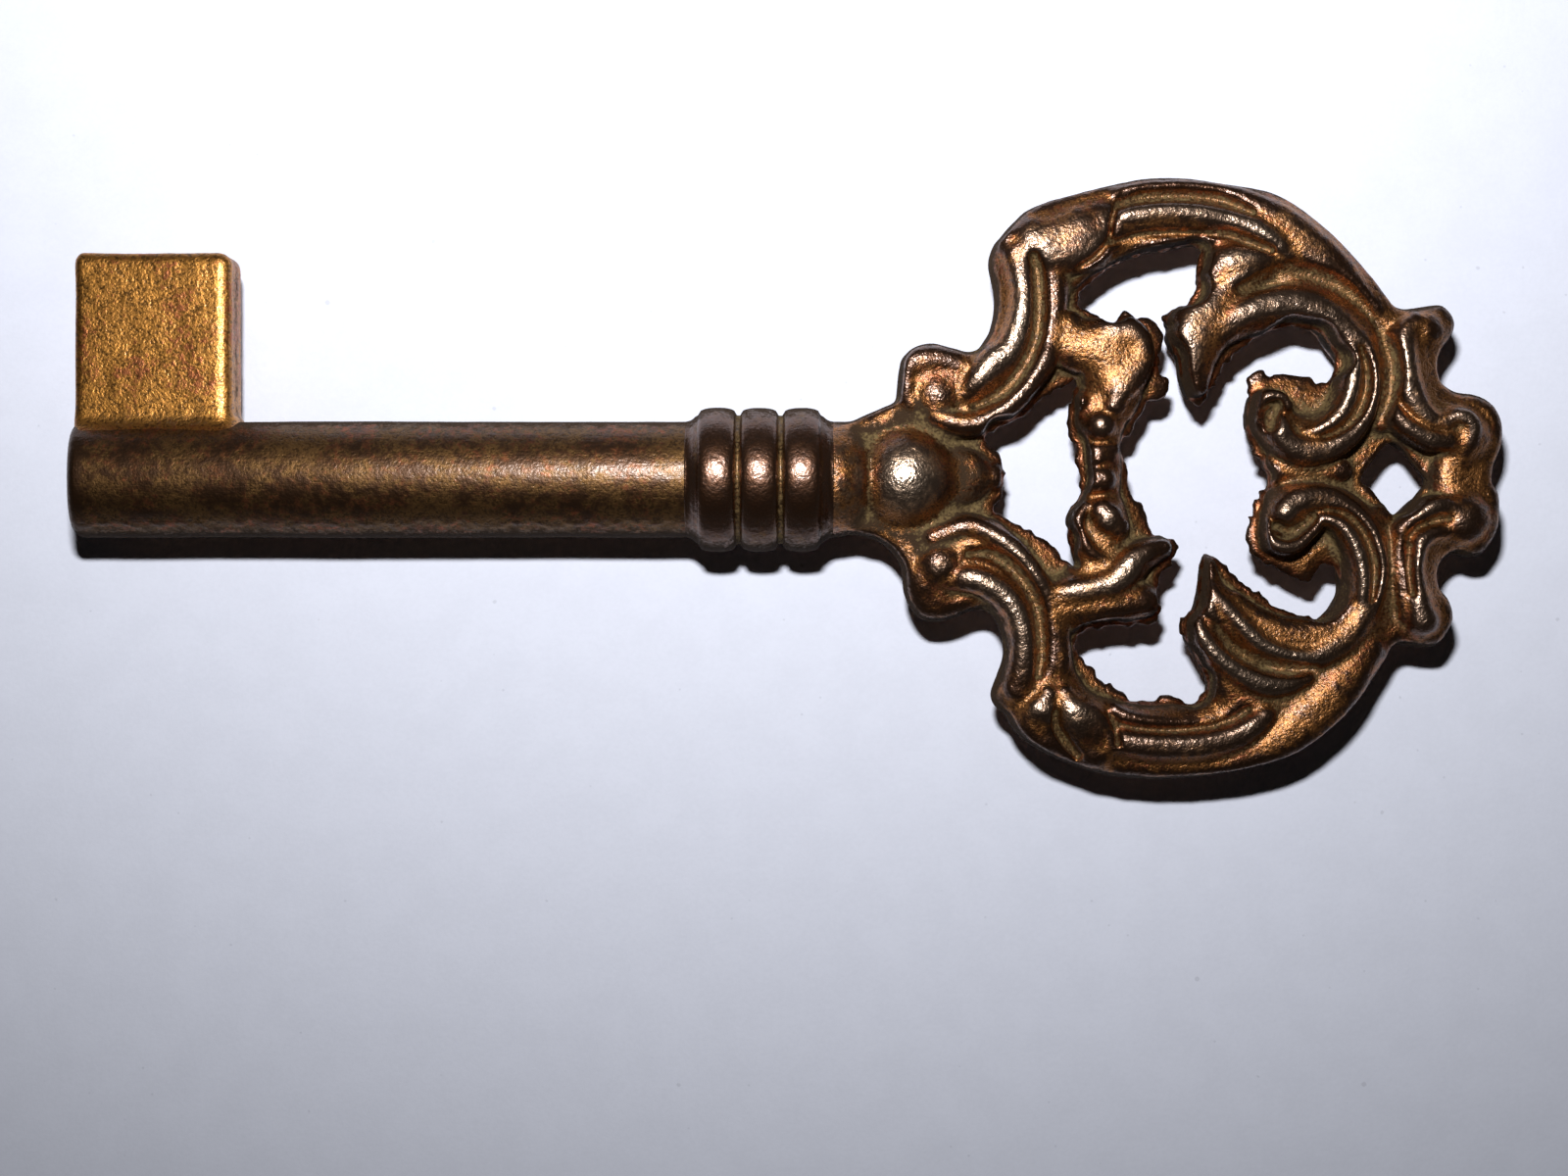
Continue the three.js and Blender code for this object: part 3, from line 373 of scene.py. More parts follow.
# Ribs that stand on the bars, in the same shares, at the places where they show in the photograph
RIB_SHARES = {
    "upper_arm_outer": [
        (0.085, 0.29, 0.035, 0.8), (0.1, 0.322, 0.045, 0.92), (0.118, 0.36, 0.055, 0.98),
        (0.138, 0.4, 0.062, 1), (0.162, 0.44, 0.056, 1), (0.176, 0.5, 0.052, 1), (0.184, 0.56, 0.05, 1),
        (0.186, 0.63, 0.05, 0.98), (0.182, 0.7, 0.054, 0.95), (0.174, 0.76, 0.056, 0.88)],
    "upper_arm_inner": [
        (0.035, 0.215, 0.04, 0.8), (0.06, 0.198, 0.04, 0.86), (0.085, 0.19, 0.04, 0.88),
        (0.11, 0.196, 0.04, 0.9), (0.135, 0.218, 0.04, 0.92), (0.16, 0.253, 0.042, 0.92),
        (0.183, 0.3, 0.044, 0.92), (0.203, 0.352, 0.046, 0.9), (0.22, 0.405, 0.05, 0.88),
        (0.23, 0.46, 0.05, 0.84), (0.236, 0.54, 0.05, 0.82), (0.237, 0.63, 0.05, 0.82),
        (0.235, 0.7, 0.05, 0.84)],
    "upper_eye_rim": [
        (-0.008, 0.26, 0.04, 0.74), (-0.018, 0.31, 0.045, 0.8), (-0.015, 0.37, 0.05, 0.84),
        (0.003, 0.4, 0.05, 0.84), (0.03, 0.408, 0.05, 0.84), (0.058, 0.4, 0.046, 0.82),
        (0.08, 0.385, 0.04, 0.78)],
    "top_sheath": [
        (0.165, 0.8, 0.06, 0.8), (0.19, 0.8, 0.09, 0.95), (0.225, 0.795, 0.1, 1), (0.26, 0.8, 0.11, 1),
        (0.295, 0.825, 0.115, 0.98), (0.318, 0.85, 0.1, 0.92)],
    "top_sheath_back": [
        (0.2, 0.86, 0.07, 0.6), (0.25, 0.885, 0.08, 0.62), (0.3, 0.91, 0.08, 0.64),
        (0.34, 0.93, 0.07, 0.68)],
    "top_arch_rib": [
        (0.34, 0.875, 0.04, 0.9), (0.37, 0.89, 0.045, 0.95), (0.41, 0.9, 0.045, 0.97),
        (0.45, 0.903, 0.045, 0.97), (0.5, 0.893, 0.045, 0.97), (0.54, 0.875, 0.045, 0.97),
        (0.575, 0.855, 0.045, 0.99), (0.605, 0.822, 0.045, 1), (0.625, 0.79, 0.04, 0.98),
        (0.64, 0.76, 0.035, 0.9)],
    "top_arch_side": [
        (0.345, 0.84, 0.05, 0.8), (0.4, 0.86, 0.055, 0.84), (0.45, 0.862, 0.055, 0.84),
        (0.5, 0.85, 0.05, 0.82), (0.53, 0.84, 0.04, 0.8)],
    "top_inner_lip": [
        (0.27, 0.66, 0.02, 0.4), (0.3, 0.71, 0.02, 0.44), (0.34, 0.755, 0.022, 0.5),
        (0.38, 0.78, 0.024, 0.56), (0.42, 0.79, 0.026, 0.62), (0.46, 0.793, 0.026, 0.6)],
    "top_outer_lip": [
        (0.345, 0.955, 0.03, 0.76), (0.38, 0.975, 0.03, 0.76), (0.43, 0.983, 0.03, 0.76),
        (0.48, 0.98, 0.03, 0.76), (0.53, 0.965, 0.035, 0.78), (0.57, 0.935, 0.05, 0.84),
        (0.61, 0.885, 0.07, 0.9), (0.65, 0.825, 0.08, 0.92), (0.69, 0.76, 0.08, 0.9),
        (0.725, 0.695, 0.075, 0.86), (0.755, 0.63, 0.06, 0.8), (0.78, 0.58, 0.045, 0.7)],
    "upper_leaf_lobe": [
        (0.515, 0.7, 0.06, 0.85), (0.54, 0.725, 0.07, 0.95), (0.57, 0.74, 0.06, 0.98),
        (0.6, 0.745, 0.045, 0.92), (0.625, 0.735, 0.03, 0.82)],
    "upper_leaf_fold": [
        (0.515, 0.625, 0.04, 0.86), (0.54, 0.662, 0.04, 0.92), (0.57, 0.687, 0.035, 0.94),
        (0.605, 0.705, 0.03, 0.86)],
    "snout": [
        (0.475, 0.325, 0.045, 0.82), (0.475, 0.38, 0.058, 0.9), (0.476, 0.44, 0.075, 0.95),
        (0.482, 0.5, 0.088, 0.98), (0.5, 0.55, 0.088, 0.96), (0.52, 0.59, 0.075, 0.92),
        (0.54, 0.62, 0.055, 0.86)],
    "upper_scroll_ridge": [
        (0.505, 0.46, 0.045, 0.84), (0.53, 0.515, 0.055, 0.92), (0.56, 0.555, 0.058, 0.98),
        (0.6, 0.585, 0.06, 1), (0.645, 0.595, 0.062, 1), (0.685, 0.582, 0.062, 0.98),
        (0.72, 0.545, 0.058, 0.95), (0.745, 0.5, 0.05, 0.93), (0.765, 0.465, 0.042, 0.92),
        (0.778, 0.42, 0.036, 0.92), (0.785, 0.36, 0.034, 0.94), (0.787, 0.3, 0.034, 0.94),
        (0.78, 0.24, 0.036, 0.94), (0.765, 0.19, 0.04, 0.94), (0.742, 0.145, 0.046, 0.94),
        (0.712, 0.112, 0.052, 0.94), (0.678, 0.1, 0.056, 0.94), (0.648, 0.118, 0.052, 0.96),
        (0.63, 0.155, 0.046, 0.98), (0.625, 0.19, 0.04, 0.96)],
    "upper_scroll_inner": [
        (0.742, 0.465, 0.028, 0.88), (0.75, 0.42, 0.034, 0.96), (0.754, 0.37, 0.036, 1),
        (0.752, 0.32, 0.036, 1), (0.745, 0.27, 0.036, 1), (0.732, 0.225, 0.034, 0.98),
        (0.712, 0.19, 0.032, 0.94), (0.69, 0.168, 0.028, 0.9), (0.67, 0.16, 0.022, 0.84)],
    "upper_volute_curl": [
        (0.58, 0.195, 0.022, 0.76), (0.582, 0.235, 0.024, 0.82), (0.593, 0.268, 0.026, 0.88),
        (0.61, 0.283, 0.026, 0.92), (0.628, 0.275, 0.026, 0.94), (0.64, 0.25, 0.024, 0.9)],
    "left_leaf_ridge": [
        (0.3, 0.47, 0.06, 0.8), (0.335, 0.49, 0.065, 0.9), (0.365, 0.495, 0.06, 0.92),
        (0.385, 0.465, 0.05, 0.9), (0.388, 0.41, 0.05, 0.88), (0.372, 0.355, 0.06, 0.9),
        (0.352, 0.3, 0.05, 0.92), (0.342, 0.255, 0.045, 0.88)],
    "left_leaf_body": [
        (0.235, 0.5, 0.08, 0.72), (0.275, 0.46, 0.09, 0.78), (0.315, 0.435, 0.1, 0.82),
        (0.348, 0.405, 0.1, 0.86), (0.34, 0.32, 0.06, 0.86)],
    "link_upper_rim": [
        (0.285, 0.265, 0.026, 0.78), (0.27, 0.235, 0.028, 0.8), (0.265, 0.195, 0.028, 0.78),
        (0.272, 0.155, 0.026, 0.74)],
    "link_band": [
        (0.286, 0.105, 0.02, 0.72), (0.315, 0.1, 0.024, 0.8), (0.342, 0.105, 0.02, 0.72)],
    "link_ring": [
        (0.295, 0.072, 0.024, 0.74), (0.313, 0.07, 0.03, 0.82), (0.333, 0.072, 0.024, 0.74)],
    "link_bead": [
        (0.303, 0.005, 0.05, 0.86), (0.322, 0.005, 0.05, 0.86)],
    "link_lower_rim": [
        (0.292, -0.09, 0.026, 0.74), (0.28, -0.13, 0.028, 0.8), (0.28, -0.17, 0.028, 0.82),
        (0.29, -0.21, 0.028, 0.84), (0.305, -0.245, 0.026, 0.84), (0.322, -0.268, 0.022, 0.8)],
    "link_lower_oval": [
        (0.322, -0.105, 0.048, 0.9), (0.334, -0.13, 0.055, 0.95), (0.347, -0.158, 0.045, 0.88)],
    "lower_leaf_ridge": [
        (0.245, -0.385, 0.045, 0.86), (0.275, -0.372, 0.05, 0.94), (0.31, -0.362, 0.05, 0.98),
        (0.34, -0.345, 0.055, 1), (0.362, -0.305, 0.058, 1), (0.38, -0.262, 0.05, 0.97),
        (0.402, -0.24, 0.042, 0.9), (0.425, -0.225, 0.03, 0.78)],
    "lower_leaf_belly": [
        (0.26, -0.425, 0.06, 0.8), (0.305, -0.415, 0.06, 0.85), (0.35, -0.412, 0.06, 0.86),
        (0.388, -0.405, 0.05, 0.82)],
    "lower_arm_outer": [
        (0.06, -0.335, 0.04, 0.8), (0.08, -0.33, 0.05, 0.92), (0.105, -0.335, 0.052, 0.98),
        (0.132, -0.358, 0.052, 1), (0.156, -0.395, 0.052, 1), (0.174, -0.445, 0.05, 1),
        (0.184, -0.51, 0.05, 0.98), (0.187, -0.575, 0.052, 0.95), (0.184, -0.64, 0.054, 0.9),
        (0.176, -0.7, 0.056, 0.84)],
    "lower_arm_inner": [
        (0.03, -0.195, 0.04, 0.78), (0.06, -0.17, 0.04, 0.82), (0.09, -0.155, 0.04, 0.86),
        (0.12, -0.172, 0.04, 0.9), (0.145, -0.198, 0.04, 0.94), (0.168, -0.232, 0.04, 0.96),
        (0.188, -0.275, 0.04, 0.97), (0.205, -0.325, 0.042, 0.96), (0.22, -0.375, 0.044, 0.9),
        (0.232, -0.44, 0.048, 0.82), (0.24, -0.52, 0.05, 0.78), (0.244, -0.62, 0.05, 0.78)],
    "bottom_sheath_lobe": [
        (0.228, -0.725, 0.045, 0.9), (0.218, -0.775, 0.07, 0.97), (0.21, -0.82, 0.08, 0.86),
        (0.215, -0.87, 0.07, 0.76)],
    "bottom_sheath": [
        (0.255, -0.72, 0.04, 0.88), (0.27, -0.77, 0.06, 1), (0.29, -0.808, 0.075, 0.98),
        (0.305, -0.848, 0.085, 0.9), (0.31, -0.895, 0.08, 0.8)],
    "bottom_arch_rib": [
        (0.345, -0.875, 0.05, 0.88), (0.4, -0.89, 0.055, 0.92), (0.45, -0.893, 0.055, 0.93),
        (0.5, -0.885, 0.055, 0.93), (0.545, -0.865, 0.055, 0.93), (0.58, -0.83, 0.05, 0.95),
        (0.6, -0.795, 0.045, 0.9)],
    "bottom_inner_lip": [
        (0.34, -0.775, 0.03, 0.72), (0.36, -0.793, 0.03, 0.78), (0.39, -0.808, 0.03, 0.78),
        (0.425, -0.814, 0.028, 0.74), (0.465, -0.815, 0.024, 0.68)],
    "bottom_outer_lip": [
        (0.35, -0.96, 0.03, 0.6), (0.42, -0.97, 0.03, 0.6), (0.5, -0.965, 0.03, 0.62),
        (0.56, -0.94, 0.045, 0.7), (0.62, -0.885, 0.07, 0.8), (0.67, -0.815, 0.085, 0.86),
        (0.715, -0.735, 0.085, 0.86), (0.75, -0.65, 0.075, 0.82), (0.78, -0.57, 0.055, 0.74)],
    "lower_leaf_outer_rib": [
        (0.482, -0.465, 0.03, 0.86), (0.49, -0.51, 0.036, 0.95), (0.507, -0.56, 0.04, 0.98),
        (0.53, -0.605, 0.042, 1), (0.56, -0.65, 0.045, 1), (0.6, -0.685, 0.05, 1),
        (0.64, -0.685, 0.045, 0.97), (0.67, -0.665, 0.035, 0.88)],
    "lower_leaf_patch": [
        (0.503, -0.37, 0.034, 0.84), (0.503, -0.42, 0.038, 0.93), (0.517, -0.465, 0.03, 0.88)],
    "lower_scroll_ridge": [
        (0.508, -0.375, 0.03, 0.88), (0.527, -0.415, 0.034, 0.93), (0.547, -0.455, 0.036, 0.96),
        (0.569, -0.503, 0.038, 0.99), (0.592, -0.547, 0.04, 1), (0.622, -0.58, 0.042, 1),
        (0.655, -0.598, 0.045, 1), (0.69, -0.592, 0.05, 0.97), (0.72, -0.562, 0.055, 0.94),
        (0.748, -0.515, 0.055, 0.92), (0.77, -0.46, 0.048, 0.92), (0.785, -0.41, 0.04, 0.93),
        (0.795, -0.355, 0.035, 0.95), (0.799, -0.3, 0.034, 0.95), (0.796, -0.245, 0.034, 0.95),
        (0.787, -0.195, 0.036, 0.94), (0.772, -0.148, 0.04, 0.93), (0.752, -0.108, 0.045, 0.92),
        (0.722, -0.075, 0.05, 0.92), (0.688, -0.06, 0.052, 0.93), (0.655, -0.075, 0.052, 0.96),
        (0.637, -0.105, 0.048, 0.97), (0.632, -0.13, 0.04, 0.92)],
    "lower_scroll_body": [
        (0.55, -0.42, 0.045, 0.76), (0.585, -0.475, 0.055, 0.84), (0.63, -0.515, 0.06, 0.87),
        (0.68, -0.52, 0.06, 0.86), (0.72, -0.48, 0.05, 0.84), (0.745, -0.43, 0.04, 0.84)],
    "lower_scroll_inner": [
        (0.766, -0.44, 0.03, 0.9), (0.769, -0.39, 0.034, 0.96), (0.771, -0.34, 0.034, 1),
        (0.768, -0.29, 0.034, 1), (0.761, -0.24, 0.034, 0.99), (0.749, -0.19, 0.034, 0.97),
        (0.733, -0.152, 0.032, 0.95), (0.713, -0.132, 0.03, 0.92), (0.695, -0.128, 0.025, 0.88)],
    "lower_volute_curl": [
        (0.6, -0.145, 0.024, 0.86), (0.604, -0.185, 0.026, 0.92), (0.618, -0.215, 0.028, 0.96),
        (0.64, -0.226, 0.028, 0.96), (0.66, -0.212, 0.028, 0.93), (0.676, -0.182, 0.026, 0.9),
        (0.69, -0.155, 0.024, 0.88)],
    "crest_upper_main": [
        (0.86, 0.53, 0.04, 0.84), (0.847, 0.5, 0.045, 0.9), (0.842, 0.45, 0.05, 0.95),
        (0.843, 0.39, 0.052, 0.97), (0.848, 0.33, 0.052, 0.97), (0.858, 0.275, 0.05, 0.97),
        (0.873, 0.23, 0.046, 0.96), (0.893, 0.2, 0.04, 0.93), (0.912, 0.19, 0.035, 0.9)],
    "crest_upper_curl": [
        (0.915, 0.2, 0.034, 0.9), (0.932, 0.214, 0.036, 0.96), (0.95, 0.206, 0.038, 0.98),
        (0.959, 0.18, 0.038, 0.97), (0.957, 0.14, 0.036, 0.92), (0.948, 0.1, 0.032, 0.82),
        (0.942, 0.07, 0.028, 0.7)],
    "crest_upper_outer": [
        (0.818, 0.265, 0.028, 0.8), (0.826, 0.225, 0.034, 0.9), (0.844, 0.187, 0.038, 0.94),
        (0.867, 0.157, 0.04, 0.95), (0.89, 0.137, 0.042, 0.95), (0.915, 0.135, 0.042, 0.9)],
    "crest_upper_left": [
        (0.822, 0.485, 0.028, 0.78), (0.82, 0.44, 0.026, 0.76), (0.822, 0.38, 0.022, 0.7)],
    "crest_lower_top": [
        (0.835, -0.165, 0.03, 0.8), (0.858, -0.128, 0.035, 0.9), (0.882, -0.1, 0.038, 0.95),
        (0.903, -0.085, 0.038, 0.95), (0.925, -0.095, 0.035, 0.9)],
    "crest_lower_main": [
        (0.91, -0.172, 0.03, 0.84), (0.89, -0.178, 0.034, 0.9), (0.872, -0.205, 0.036, 0.95),
        (0.862, -0.245, 0.04, 0.97), (0.857, -0.3, 0.044, 0.97), (0.86, -0.36, 0.046, 0.94),
        (0.868, -0.42, 0.05, 0.94), (0.874, -0.47, 0.052, 0.94)],
    "crest_lower_left": [
        (0.836, -0.175, 0.026, 0.78), (0.831, -0.24, 0.026, 0.76), (0.832, -0.32, 0.026, 0.76),
        (0.838, -0.4, 0.028, 0.78), (0.842, -0.455, 0.028, 0.74)],
}

# Round bosses, in the same shares, as they show in the photograph
BOSS_SHARES = {
    "upper_eye": (0.037, 0.285, 0.085, 0.88),
    "lower_eye_bulb": (0.025, -0.37, 0.09, 0.64),
    "lower_eye": (0.042, -0.285, 0.08, 0.92),
    "left_leaf_lobe": (0.265, 0.525, 0.05, 0.78),
    "link_upper_dome": (0.32, 0.185, 0.056, 0.94),
    "upper_volute_dome": (0.63, 0.165, 0.045, 0.98),
    "lower_volute_dome": (0.638, -0.105, 0.052, 0.98),
    "crest_top_knob": (0.88, 0.51, 0.06, 0.84),
    "crest_upper_ball": (0.95, 0.155, 0.085, 0.84),
    "crest_lower_ball": (0.945, -0.13, 0.092, 0.92),
    "crest_bottom_knob": (0.876, -0.47, 0.06, 0.92),
}

# Valleys between the ribs, as they show in the photograph, with their floor's height in the last place
VALLEY_SHARES = {
    "top_sheath_end": [
        (0.358, 0.965, 0.012, 0.74), (0.345, 0.927, 0.014, 0.7), (0.335, 0.868, 0.014, 0.7),
        (0.33, 0.802, 0.014, 0.7), (0.308, 0.746, 0.014, 0.66), (0.278, 0.706, 0.012, 0.66)],
    "upper_arm_valley": [
        (0.1, 0.245, 0.022, 0.6), (0.13, 0.272, 0.026, 0.54), (0.155, 0.308, 0.028, 0.52),
        (0.178, 0.362, 0.028, 0.52), (0.196, 0.425, 0.028, 0.52), (0.207, 0.5, 0.028, 0.52),
        (0.21, 0.6, 0.028, 0.52), (0.207, 0.69, 0.026, 0.56), (0.2, 0.74, 0.02, 0.64)],
    "top_outer_groove": [
        (0.35, 0.92, 0.018, 0.62), (0.38, 0.94, 0.024, 0.56), (0.43, 0.948, 0.026, 0.54),
        (0.48, 0.945, 0.026, 0.54), (0.52, 0.933, 0.024, 0.56), (0.55, 0.913, 0.02, 0.6),
        (0.575, 0.893, 0.014, 0.68)],
    "top_inner_groove": [
        (0.335, 0.79, 0.016, 0.6), (0.38, 0.812, 0.018, 0.56), (0.43, 0.822, 0.018, 0.56),
        (0.48, 0.82, 0.02, 0.56), (0.53, 0.815, 0.02, 0.58), (0.57, 0.79, 0.018, 0.6),
        (0.605, 0.765, 0.014, 0.66)],
    "upper_outer_valley": [
        (0.555, 0.64, 0.018, 0.74), (0.585, 0.665, 0.028, 0.66), (0.62, 0.683, 0.036, 0.6),
        (0.66, 0.685, 0.04, 0.58), (0.7, 0.663, 0.04, 0.57), (0.735, 0.625, 0.038, 0.56),
        (0.765, 0.575, 0.036, 0.54), (0.787, 0.525, 0.03, 0.52), (0.801, 0.465, 0.03, 0.5),
        (0.81, 0.4, 0.03, 0.48), (0.812, 0.33, 0.03, 0.48), (0.808, 0.27, 0.028, 0.5),
        (0.8, 0.22, 0.024, 0.52)],
    "upper_scroll_groove": [
        (0.762, 0.44, 0.012, 0.76), (0.769, 0.39, 0.015, 0.68), (0.771, 0.33, 0.017, 0.64),
        (0.767, 0.28, 0.017, 0.64), (0.757, 0.23, 0.017, 0.64), (0.742, 0.19, 0.015, 0.68),
        (0.725, 0.163, 0.013, 0.72), (0.7, 0.14, 0.01, 0.8)],
    "upper_volute_pocket": [
        (0.603, 0.175, 0.02, 0.52), (0.605, 0.212, 0.025, 0.44), (0.614, 0.243, 0.02, 0.5)],
    "lower_arm_valley": [
        (0.09, -0.25, 0.02, 0.62), (0.12, -0.25, 0.025, 0.56), (0.148, -0.275, 0.028, 0.54),
        (0.172, -0.318, 0.028, 0.54), (0.192, -0.37, 0.028, 0.54), (0.206, -0.43, 0.028, 0.54),
        (0.212, -0.5, 0.028, 0.54), (0.214, -0.58, 0.028, 0.56), (0.21, -0.65, 0.024, 0.6)],
    "lower_sheath_groove": [
        (0.238, -0.78, 0.016, 0.72), (0.24, -0.83, 0.018, 0.6), (0.255, -0.88, 0.02, 0.5),
        (0.275, -0.925, 0.018, 0.46)],
    "bottom_sheath_end": [
        (0.333, -0.78, 0.014, 0.68), (0.341, -0.83, 0.014, 0.66), (0.344, -0.88, 0.014, 0.64)],
    "bottom_inner_groove": [
        (0.35, -0.823, 0.014, 0.64), (0.4, -0.836, 0.016, 0.62), (0.45, -0.836, 0.016, 0.62),
        (0.5, -0.825, 0.018, 0.62), (0.54, -0.8, 0.018, 0.62), (0.565, -0.77, 0.018, 0.62)],
    "lower_leaf_groove": [
        (0.515, -0.495, 0.018, 0.76), (0.53, -0.535, 0.026, 0.66), (0.55, -0.573, 0.03, 0.6),
        (0.58, -0.605, 0.032, 0.58), (0.615, -0.627, 0.032, 0.58), (0.65, -0.635, 0.028, 0.62),
        (0.68, -0.632, 0.02, 0.7)],
    "lower_scroll_groove": [
        (0.781, -0.4, 0.011, 0.78), (0.784, -0.34, 0.014, 0.7), (0.784, -0.29, 0.015, 0.66),
        (0.779, -0.24, 0.015, 0.66), (0.769, -0.19, 0.015, 0.66), (0.752, -0.145, 0.015, 0.68),
        (0.73, -0.112, 0.013, 0.72), (0.703, -0.1, 0.011, 0.78)],
    "lower_volute_pocket": [
        (0.615, -0.155, 0.018, 0.52), (0.638, -0.172, 0.022, 0.46), (0.66, -0.155, 0.018, 0.52),
        (0.678, -0.125, 0.014, 0.62)],
    "crest_lower_hollow": [
        (0.86, -0.158, 0.014, 0.7), (0.885, -0.14, 0.016, 0.64), (0.91, -0.132, 0.013, 0.7)],
    "crest_lower_left_hollow": [
        (0.845, -0.22, 0.014, 0.68), (0.842, -0.3, 0.016, 0.66), (0.848, -0.38, 0.014, 0.68)],
}


class KeySizes(bpy.types.PropertyGroup):
    """Sizes of the key that the solids' boxes don't give"""

    neck_length: FloatProperty(
        name="Neck length", description="From the collar's end to the middle of the ball boss",
        default=4.6 * MM, unit="LENGTH")
    neck_crease: FloatProperty(
        name="Neck crease", description="Diameter of the neck where the ball boss starts",
        default=4.2 * MM, unit="LENGTH")
    ball_diameter: FloatProperty(
        name="Ball diameter", description="Diameter of the ball boss",
        default=5.8 * MM, unit="LENGTH")
    ball_shift: FloatProperty(
        name="Ball shift", description="How far the ball boss stands back towards the collar",
        default=0.6 * MM, unit="LENGTH")
    bow_half_width: FloatProperty(
        name="Bow half width", description="From the key's axis to the bow's widest place",
        default=16.4 * MM, unit="LENGTH")
    relief_height: FloatProperty(
        name="Relief height", description="From the bow's middle plane to its highest ribs",
        default=2.3 * MM, unit="LENGTH")
    web_half_thickness: FloatProperty(
        name="Web half thickness", description="Half thickness of the thin metal left between the bars",
        default=0.42 * MM, unit="LENGTH")
    flash_width: FloatProperty(
        name="Flash width", description="Width of the thin torn flash left round the openings",
        default=0.42 * MM, unit="LENGTH")
    flash_rag: FloatProperty(
        name="Flash raggedness", description="How far the flash's torn edge wanders",
        default=0.16 * MM, unit="LENGTH")
    flash_half_thickness: FloatProperty(
        name="Flash half thickness", description="Half thickness of the flash at its torn edge",
        default=0.2 * MM, unit="LENGTH")
    rim_half_width: FloatProperty(
        name="Rim half width", description="Half width of the rounded edge along the bow's outline",
        default=0.85 * MM, unit="LENGTH")
    rim_half_height: FloatProperty(
        name="Rim half height", description="Half height of the rounded edge along the bow's outline",
        default=1.25 * MM, unit="LENGTH")
    grid_cell: FloatProperty(
        name="Grid cell", description="Spacing of the grid that the castings are worked out on",
        default=0.12 * MM, unit="LENGTH")
    bore_diameter: FloatProperty(
        name="Bore diameter", description="Diameter of the hole in the barrel's end",
        default=4 * MM, unit="LENGTH")
    bore_depth: FloatProperty(
        name="Bore depth", description="Depth of the hole in the barrel's end",
        default=22 * MM, unit="LENGTH")
    edge_round: FloatProperty(
        name="Barrel edge", description="Rounding of the barrel's end",
        default=0.45 * MM, unit="LENGTH")
    bit_round: FloatProperty(
        name="Bit rounding", description="Rounding of the bit's edges",
        default=0.5 * MM, unit="LENGTH")
    bit_fillet: FloatProperty(
        name="Bit fillet", description="Size of the fillet between bit and barrel",
        default=0.75 * MM, unit="LENGTH")
    bead_count: IntProperty(
        name="Collar beads", description="Number of beads turned on the collar", default=3, min=1)
    bead_depth: FloatProperty(
        name="Bead depth", description="Depth of the grooves between the collar's beads",
        default=0.42 * MM, unit="LENGTH")
    bead_gap: FloatProperty(
        name="Bead gap", description="Width of the flat ground of the grooves between the beads",
        default=0.16 * MM, unit="LENGTH")
    collar_slope: FloatProperty(
        name="Collar slope", description="Length of the slope at each end of the collar",
        default=0.55 * MM, unit="LENGTH")
    tip_wear: FloatProperty(
        name="Tip wear", description="How far the barrel's end is worn back on its broad faces",
        default=0.5 * MM, unit="LENGTH")
    seam_height: FloatProperty(
        name="Seam height", description="Height of the ragged mould seam along the barrel",
        default=0.06 * MM, unit="LENGTH")
    seam_half_width: FloatProperty(
        name="Seam half width", description="Half width of the mould seam along the barrel",
        default=0.3 * MM, unit="LENGTH")


class KeyColours(bpy.types.PropertyGroup):
    """Colours of the metal, its patina and the stage"""

    patina: FloatVectorProperty(
        name="Patina", description="Smooth dark brown skin on crests and turned faces", subtype="COLOR",
        size=3, default=(0.18, 0.074, 0.033))
    polished: FloatVectorProperty(
        name="Polished", description="Metal rubbed bright on the ball and the highest ribs",
        subtype="COLOR", size=3, default=(0.92, 0.72, 0.54))
    tarnish: FloatVectorProperty(
        name="Tarnish", description="Dull dark skin of the barrel", subtype="COLOR", size=3,
        default=(0.095, 0.046, 0.022))
    olive: FloatVectorProperty(
        name="Olive", description="Dull metal that shows through the barrel's skin",
        subtype="COLOR", size=3, default=(0.19, 0.1, 0.036))
    bronze: FloatVectorProperty(
        name="Bronze", description="Grainy cast metal between the crests", subtype="COLOR", size=3,
        default=(0.45, 0.19, 0.058))
    copper: FloatVectorProperty(
        name="Copper", description="Reddish metal in patches and on the casting flash", subtype="COLOR",
        size=3, default=(0.36, 0.1, 0.045))
    dust: FloatVectorProperty(
        name="Dust", description="Greenish dust in the hollows", subtype="COLOR", size=3,
        default=(0.2, 0.14, 0.06))
    grime: FloatVectorProperty(
        name="Grime", description="Nearly black brown under and between the metal's grains",
        subtype="COLOR", size=3, default=(0.009, 0.004, 0.0018))
    # Colour of the matt painted shade low on the sides and in recesses, and of the grime and painted shade
    # round the ball boss
    soot_and_shade: FloatVectorProperty(
        name="Soot", description="Brown dirt low on the sides and round the ball boss", subtype="COLOR",
        size=3, default=(0.045, 0.026, 0.014))
    gold: FloatVectorProperty(
        name="Gold", description="Golden brown of the bit", subtype="COLOR", size=3,
        default=(0.6, 0.27, 0.056))
    paper: FloatVectorProperty(
        name="Paper", description="Surface that the key lies on", subtype="COLOR", size=3,
        default=(0.84, 0.87, 1))
    backdrop: FloatVectorProperty(
        name="Backdrop", description="Pale ground beyond the lamp's light, seen by the camera alone",
        subtype="COLOR", size=3, default=(0.66, 0.69, 0.78))


# Places

def below_camera():
    """The place on the key's middle plane that the camera looks straight down at."""
    x = barrel_low.x + (IMAGE_MIDDLE_X_PIXEL - TIP_PIXEL) * PIXEL_SIZE
    y = axis_y - (IMAGE_MIDDLE_Y_PIXEL - AXIS_PIXEL) * PIXEL_SIZE
    return Vector((x, y, axis_z))


def ball_place(sizes):
    return collar_high.x + sizes.neck_length


